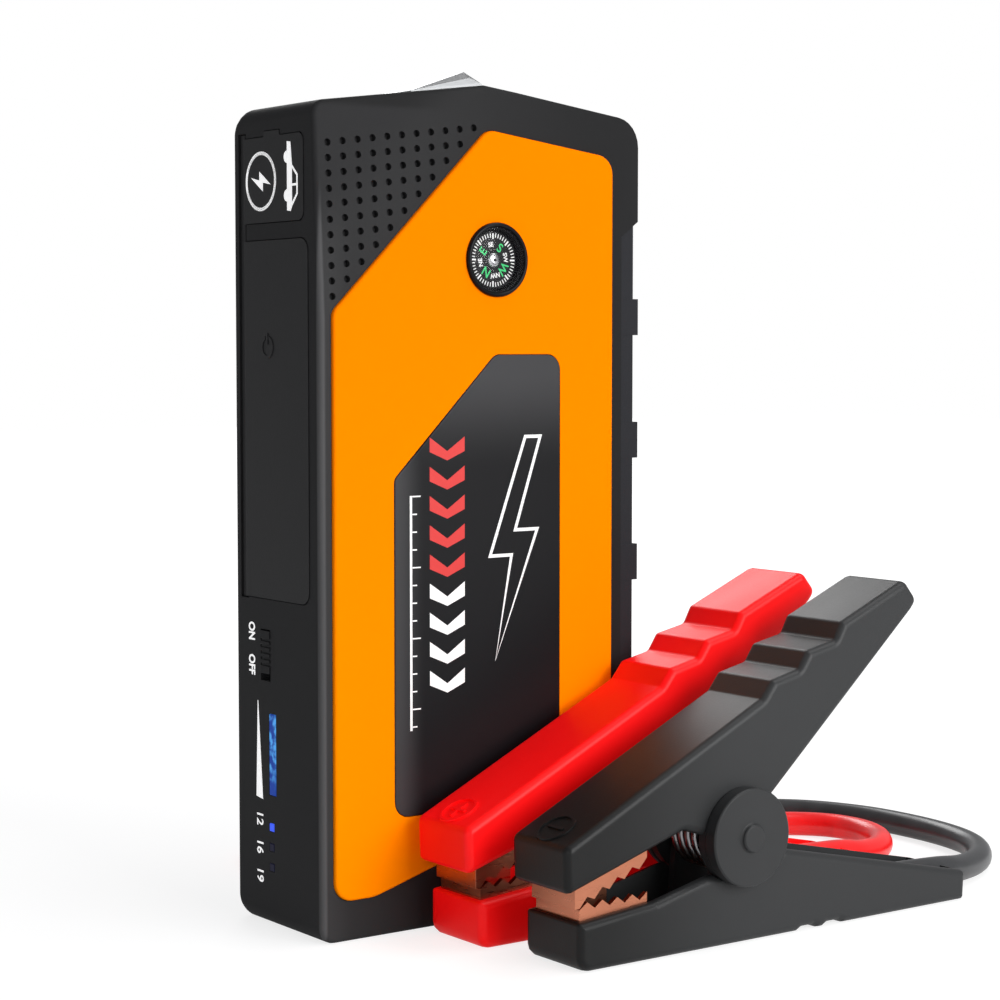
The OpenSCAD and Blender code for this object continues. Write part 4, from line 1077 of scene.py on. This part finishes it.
nickel = metal("nickel_strip", (0.72, 0.69, 0.62), 0.28, (8, 1, 1), 300)
dress("cell_link_plus", nickel)
dress("cell_link_minus", nickel)
socket_blue = moulded("socket_blue", (0.015, 0.085, 0.36), 0.36)
gold = metal("contact_gold", (0.83, 0.6, 0.27), 0.24)
usb_metal = metal("usb_nickel", (0.68, 0.68, 0.7), 0.26)
jack_plastic = moulded("jack_plastic", (0.010, 0.010, 0.011), 0.5)
for node, name, finish, slot, softness in (
    ("engine_socket", "engine_lead_socket", socket_blue, "socket_blue", 0.0003),
    ("engine_contact_plus", "socket_sleeve_plus", gold, "contact_gold", 0.00015),
    ("engine_contact_minus", "socket_sleeve_minus", gold, "contact_gold", 0.00015),
    ("usb_socket_upper", "usb_upper", usb_metal, "usb_steel", 0.0001),
    ("usb_socket_lower", "usb_lower", usb_metal, "usb_steel", 0.0001),
    ("output_jack", "jack_output", jack_plastic, "jack_black", 0.0002),
    ("input_jack", "jack_input", jack_plastic, "jack_black", 0.0002),
):
    refine(node, name, "pack", slot, finish, soften=softness)
dress("feed_wire_red", silicone("wire_red_skin", (0.6, 0.012, 0.010)))
dress("feed_wire_black", silicone("wire_black_skin", (0.02, 0.02, 0.021)))

# ---------------------------------------------------------------------------
# Lead plug: blue nylon over two gold-plated bullets, at the leads' far end,
# which is put away behind the pack.

refine(
    "lead_plug", "plug_housing", "lead_set", "socket_blue", socket_blue, soften=0.0005
)
for side in ("red", "black"):
    refine(
        f"plug_pin_{side}",
        f"plug_bullet_{side}",
        "lead_set",
        "contact_gold",
        gold,
        soften=0.0006,
    )

# ---------------------------------------------------------------------------
# Clamps: two moulded arms on a capped pin, copper jaws with teeth, and a
# torsion spring. The red one is for plus, the black one for minus.


def arm_plastic(name, colour, nose_shade_share, glow):
    """Glass-filled nylon: satin, faintly streaked along its flow. Painted shade darkens
    the nose to a share of the colour's strength, and a glow in its own colour is
    painted light."""
    nylon = Finish(name)
    flow = nylon.grain(60, 4, (0.5, 2, 1))
    grain = nylon.grain(2200, 2)
    # Painted shade: the nose is darker.
    nose = nylon.along("X").step(0.036, -0.014)
    arm = nylon.blend(flow, tint(colour, 0.92), tint(colour, 1.08))
    return nylon.set(
        Base_Color=nylon.blend(nose, arm, tint(colour, nose_shade_share)),
        Roughness=flow * 0.1 + grain * 0.08 + 0.33,
        Normal=nylon.bump(grain, 0.00003, 0.5),
        Specular_IOR_Level=0.22,
        Emission_Color=(*colour, 1),
        Emission_Strength=glow,
    )


# Painted shade on the black clamp's nose; painted light: the red arms glow.
black_nylon = arm_plastic("clamp_black", (0.027, 0.028, 0.029), 0.18, 0.0)
red_nylon = arm_plastic("clamp_red", (0.97, 0.003, 0.004), 1.0, 0.12)
copper = metal("jaw_copper", (0.50, 0.19, 0.11), 0.3, (1, 1, 9), 260, 0.00003)
spring_wire = metal("spring_wire", (0.3, 0.3, 0.31), 0.3)
PIVOT = Vector((31.5, 0, 24.3))
WIRE_R = 0.9
COIL_R = 8.0
COIL_PITCH = 2.35
CURLS = 3.25
LOW_A, HIGH_A = math.radians(-130), math.radians(140)
LOW_LEG, HIGH_LEG = 23.37, 32.77


def spring_line():
    """Centre line of the torsion spring, in millimetres about the pivot."""
    half = COIL_PITCH * CURLS / 2

    def at(angle, y):
        return Vector((COIL_R * math.cos(angle), y, COIL_R * math.sin(angle)))

    low_dir = Vector((-math.sin(LOW_A), 0, math.cos(LOW_A)))
    high_dir = Vector((math.sin(HIGH_A), 0, -math.cos(HIGH_A)))
    line = [at(LOW_A, -half) + low_dir * LOW_LEG * t for t in (1, 0.75, 0.5, 0.25)]
    steps = round(CURLS * 24)
    for i in range(steps + 1):
        turn = LOW_A - math.tau * CURLS * i / steps
        line.append(at(turn, COIL_PITCH * CURLS * i / steps - half))
    line += [at(HIGH_A, half) + high_dir * HIGH_LEG * t for t in (0.25, 0.5, 0.75, 1)]
    return line


def wire_along(line, radius, sides=12):
    """A round wire swept along a line: a circle bridged from ring to ring."""
    shape = bmesh.new()
    rings = []
    for i, point in enumerate(line):
        along = (line[min(i + 1, len(line) - 1)] - line[max(i - 1, 0)]).normalized()
        side = along.cross(Vector((0, 1, 0)))
        if side.length < 0.2:
            side = along.cross(Vector((0, 0, 1)))
        side.normalize()
        up = side.cross(along)
        turn = Matrix((side, up, along)).transposed().to_4x4()
        made = bmesh.ops.create_circle(
            shape,
            segments=sides,
            radius=radius,
            cap_ends=i in (0, len(line) - 1),
            matrix=Matrix.Translation(point) @ turn,
        )
        rings.append(made["verts"])
    for low, high in zip(rings, rings[1:]):
        for j in range(sides):
            shape.faces.new(
                (low[j], low[(j + 1) % sides], high[(j + 1) % sides], high[j])
            )
    bmesh.ops.recalc_face_normals(shape, faces=shape.faces)
    return shape


for side, y, shift, finish in (
    ("black", -60.5, 0.0, black_nylon),
    ("red", -32.0, -5.4, red_nylon),
):
    slot = f"clamp_{side}"
    for part, body, softness, crease in (
        ("upper_grip", f"{side}_arm", 0, 50),
        ("lower_grip", "lead_set", 0, 50),
        ("pivot_cap", "lead_set", 0.0004, 28),
        ("pivot_pin", "lead_set", 0.0004, 28),
    ):
        name = f"{side}_clamp_{part}"
        refine(f"{side}_{part}", name, body, slot, finish, crease, softness)
    for part, body in (("upper_jaw", f"{side}_arm"), ("lower_jaw", "lead_set")):
        name = f"{side}_copper_{part}"
        refine(f"{side}_{part}", name, body, "jaw_copper", copper, soften=0.00018)
    coil = wire_along(spring_line(), WIRE_R)
    bmesh.ops.transform(
        coil,
        matrix=Matrix.Scale(MM, 4)
        @ Matrix.Translation(PIVOT + Vector((shift, y, 0))),
        verts=coil.verts,
    )
    spring = place(
        f"{side}_torsion_spring",
        coil,
        "lead_set",
        "spring_steel",
        spring_wire,
        [f"{side}_spring"],
    )
    # Its legs bend with the arms, so it is taken off its body and left where it stands.
    spring.parent = None
    spring.matrix_world = Matrix.Identity(4)
    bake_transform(spring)
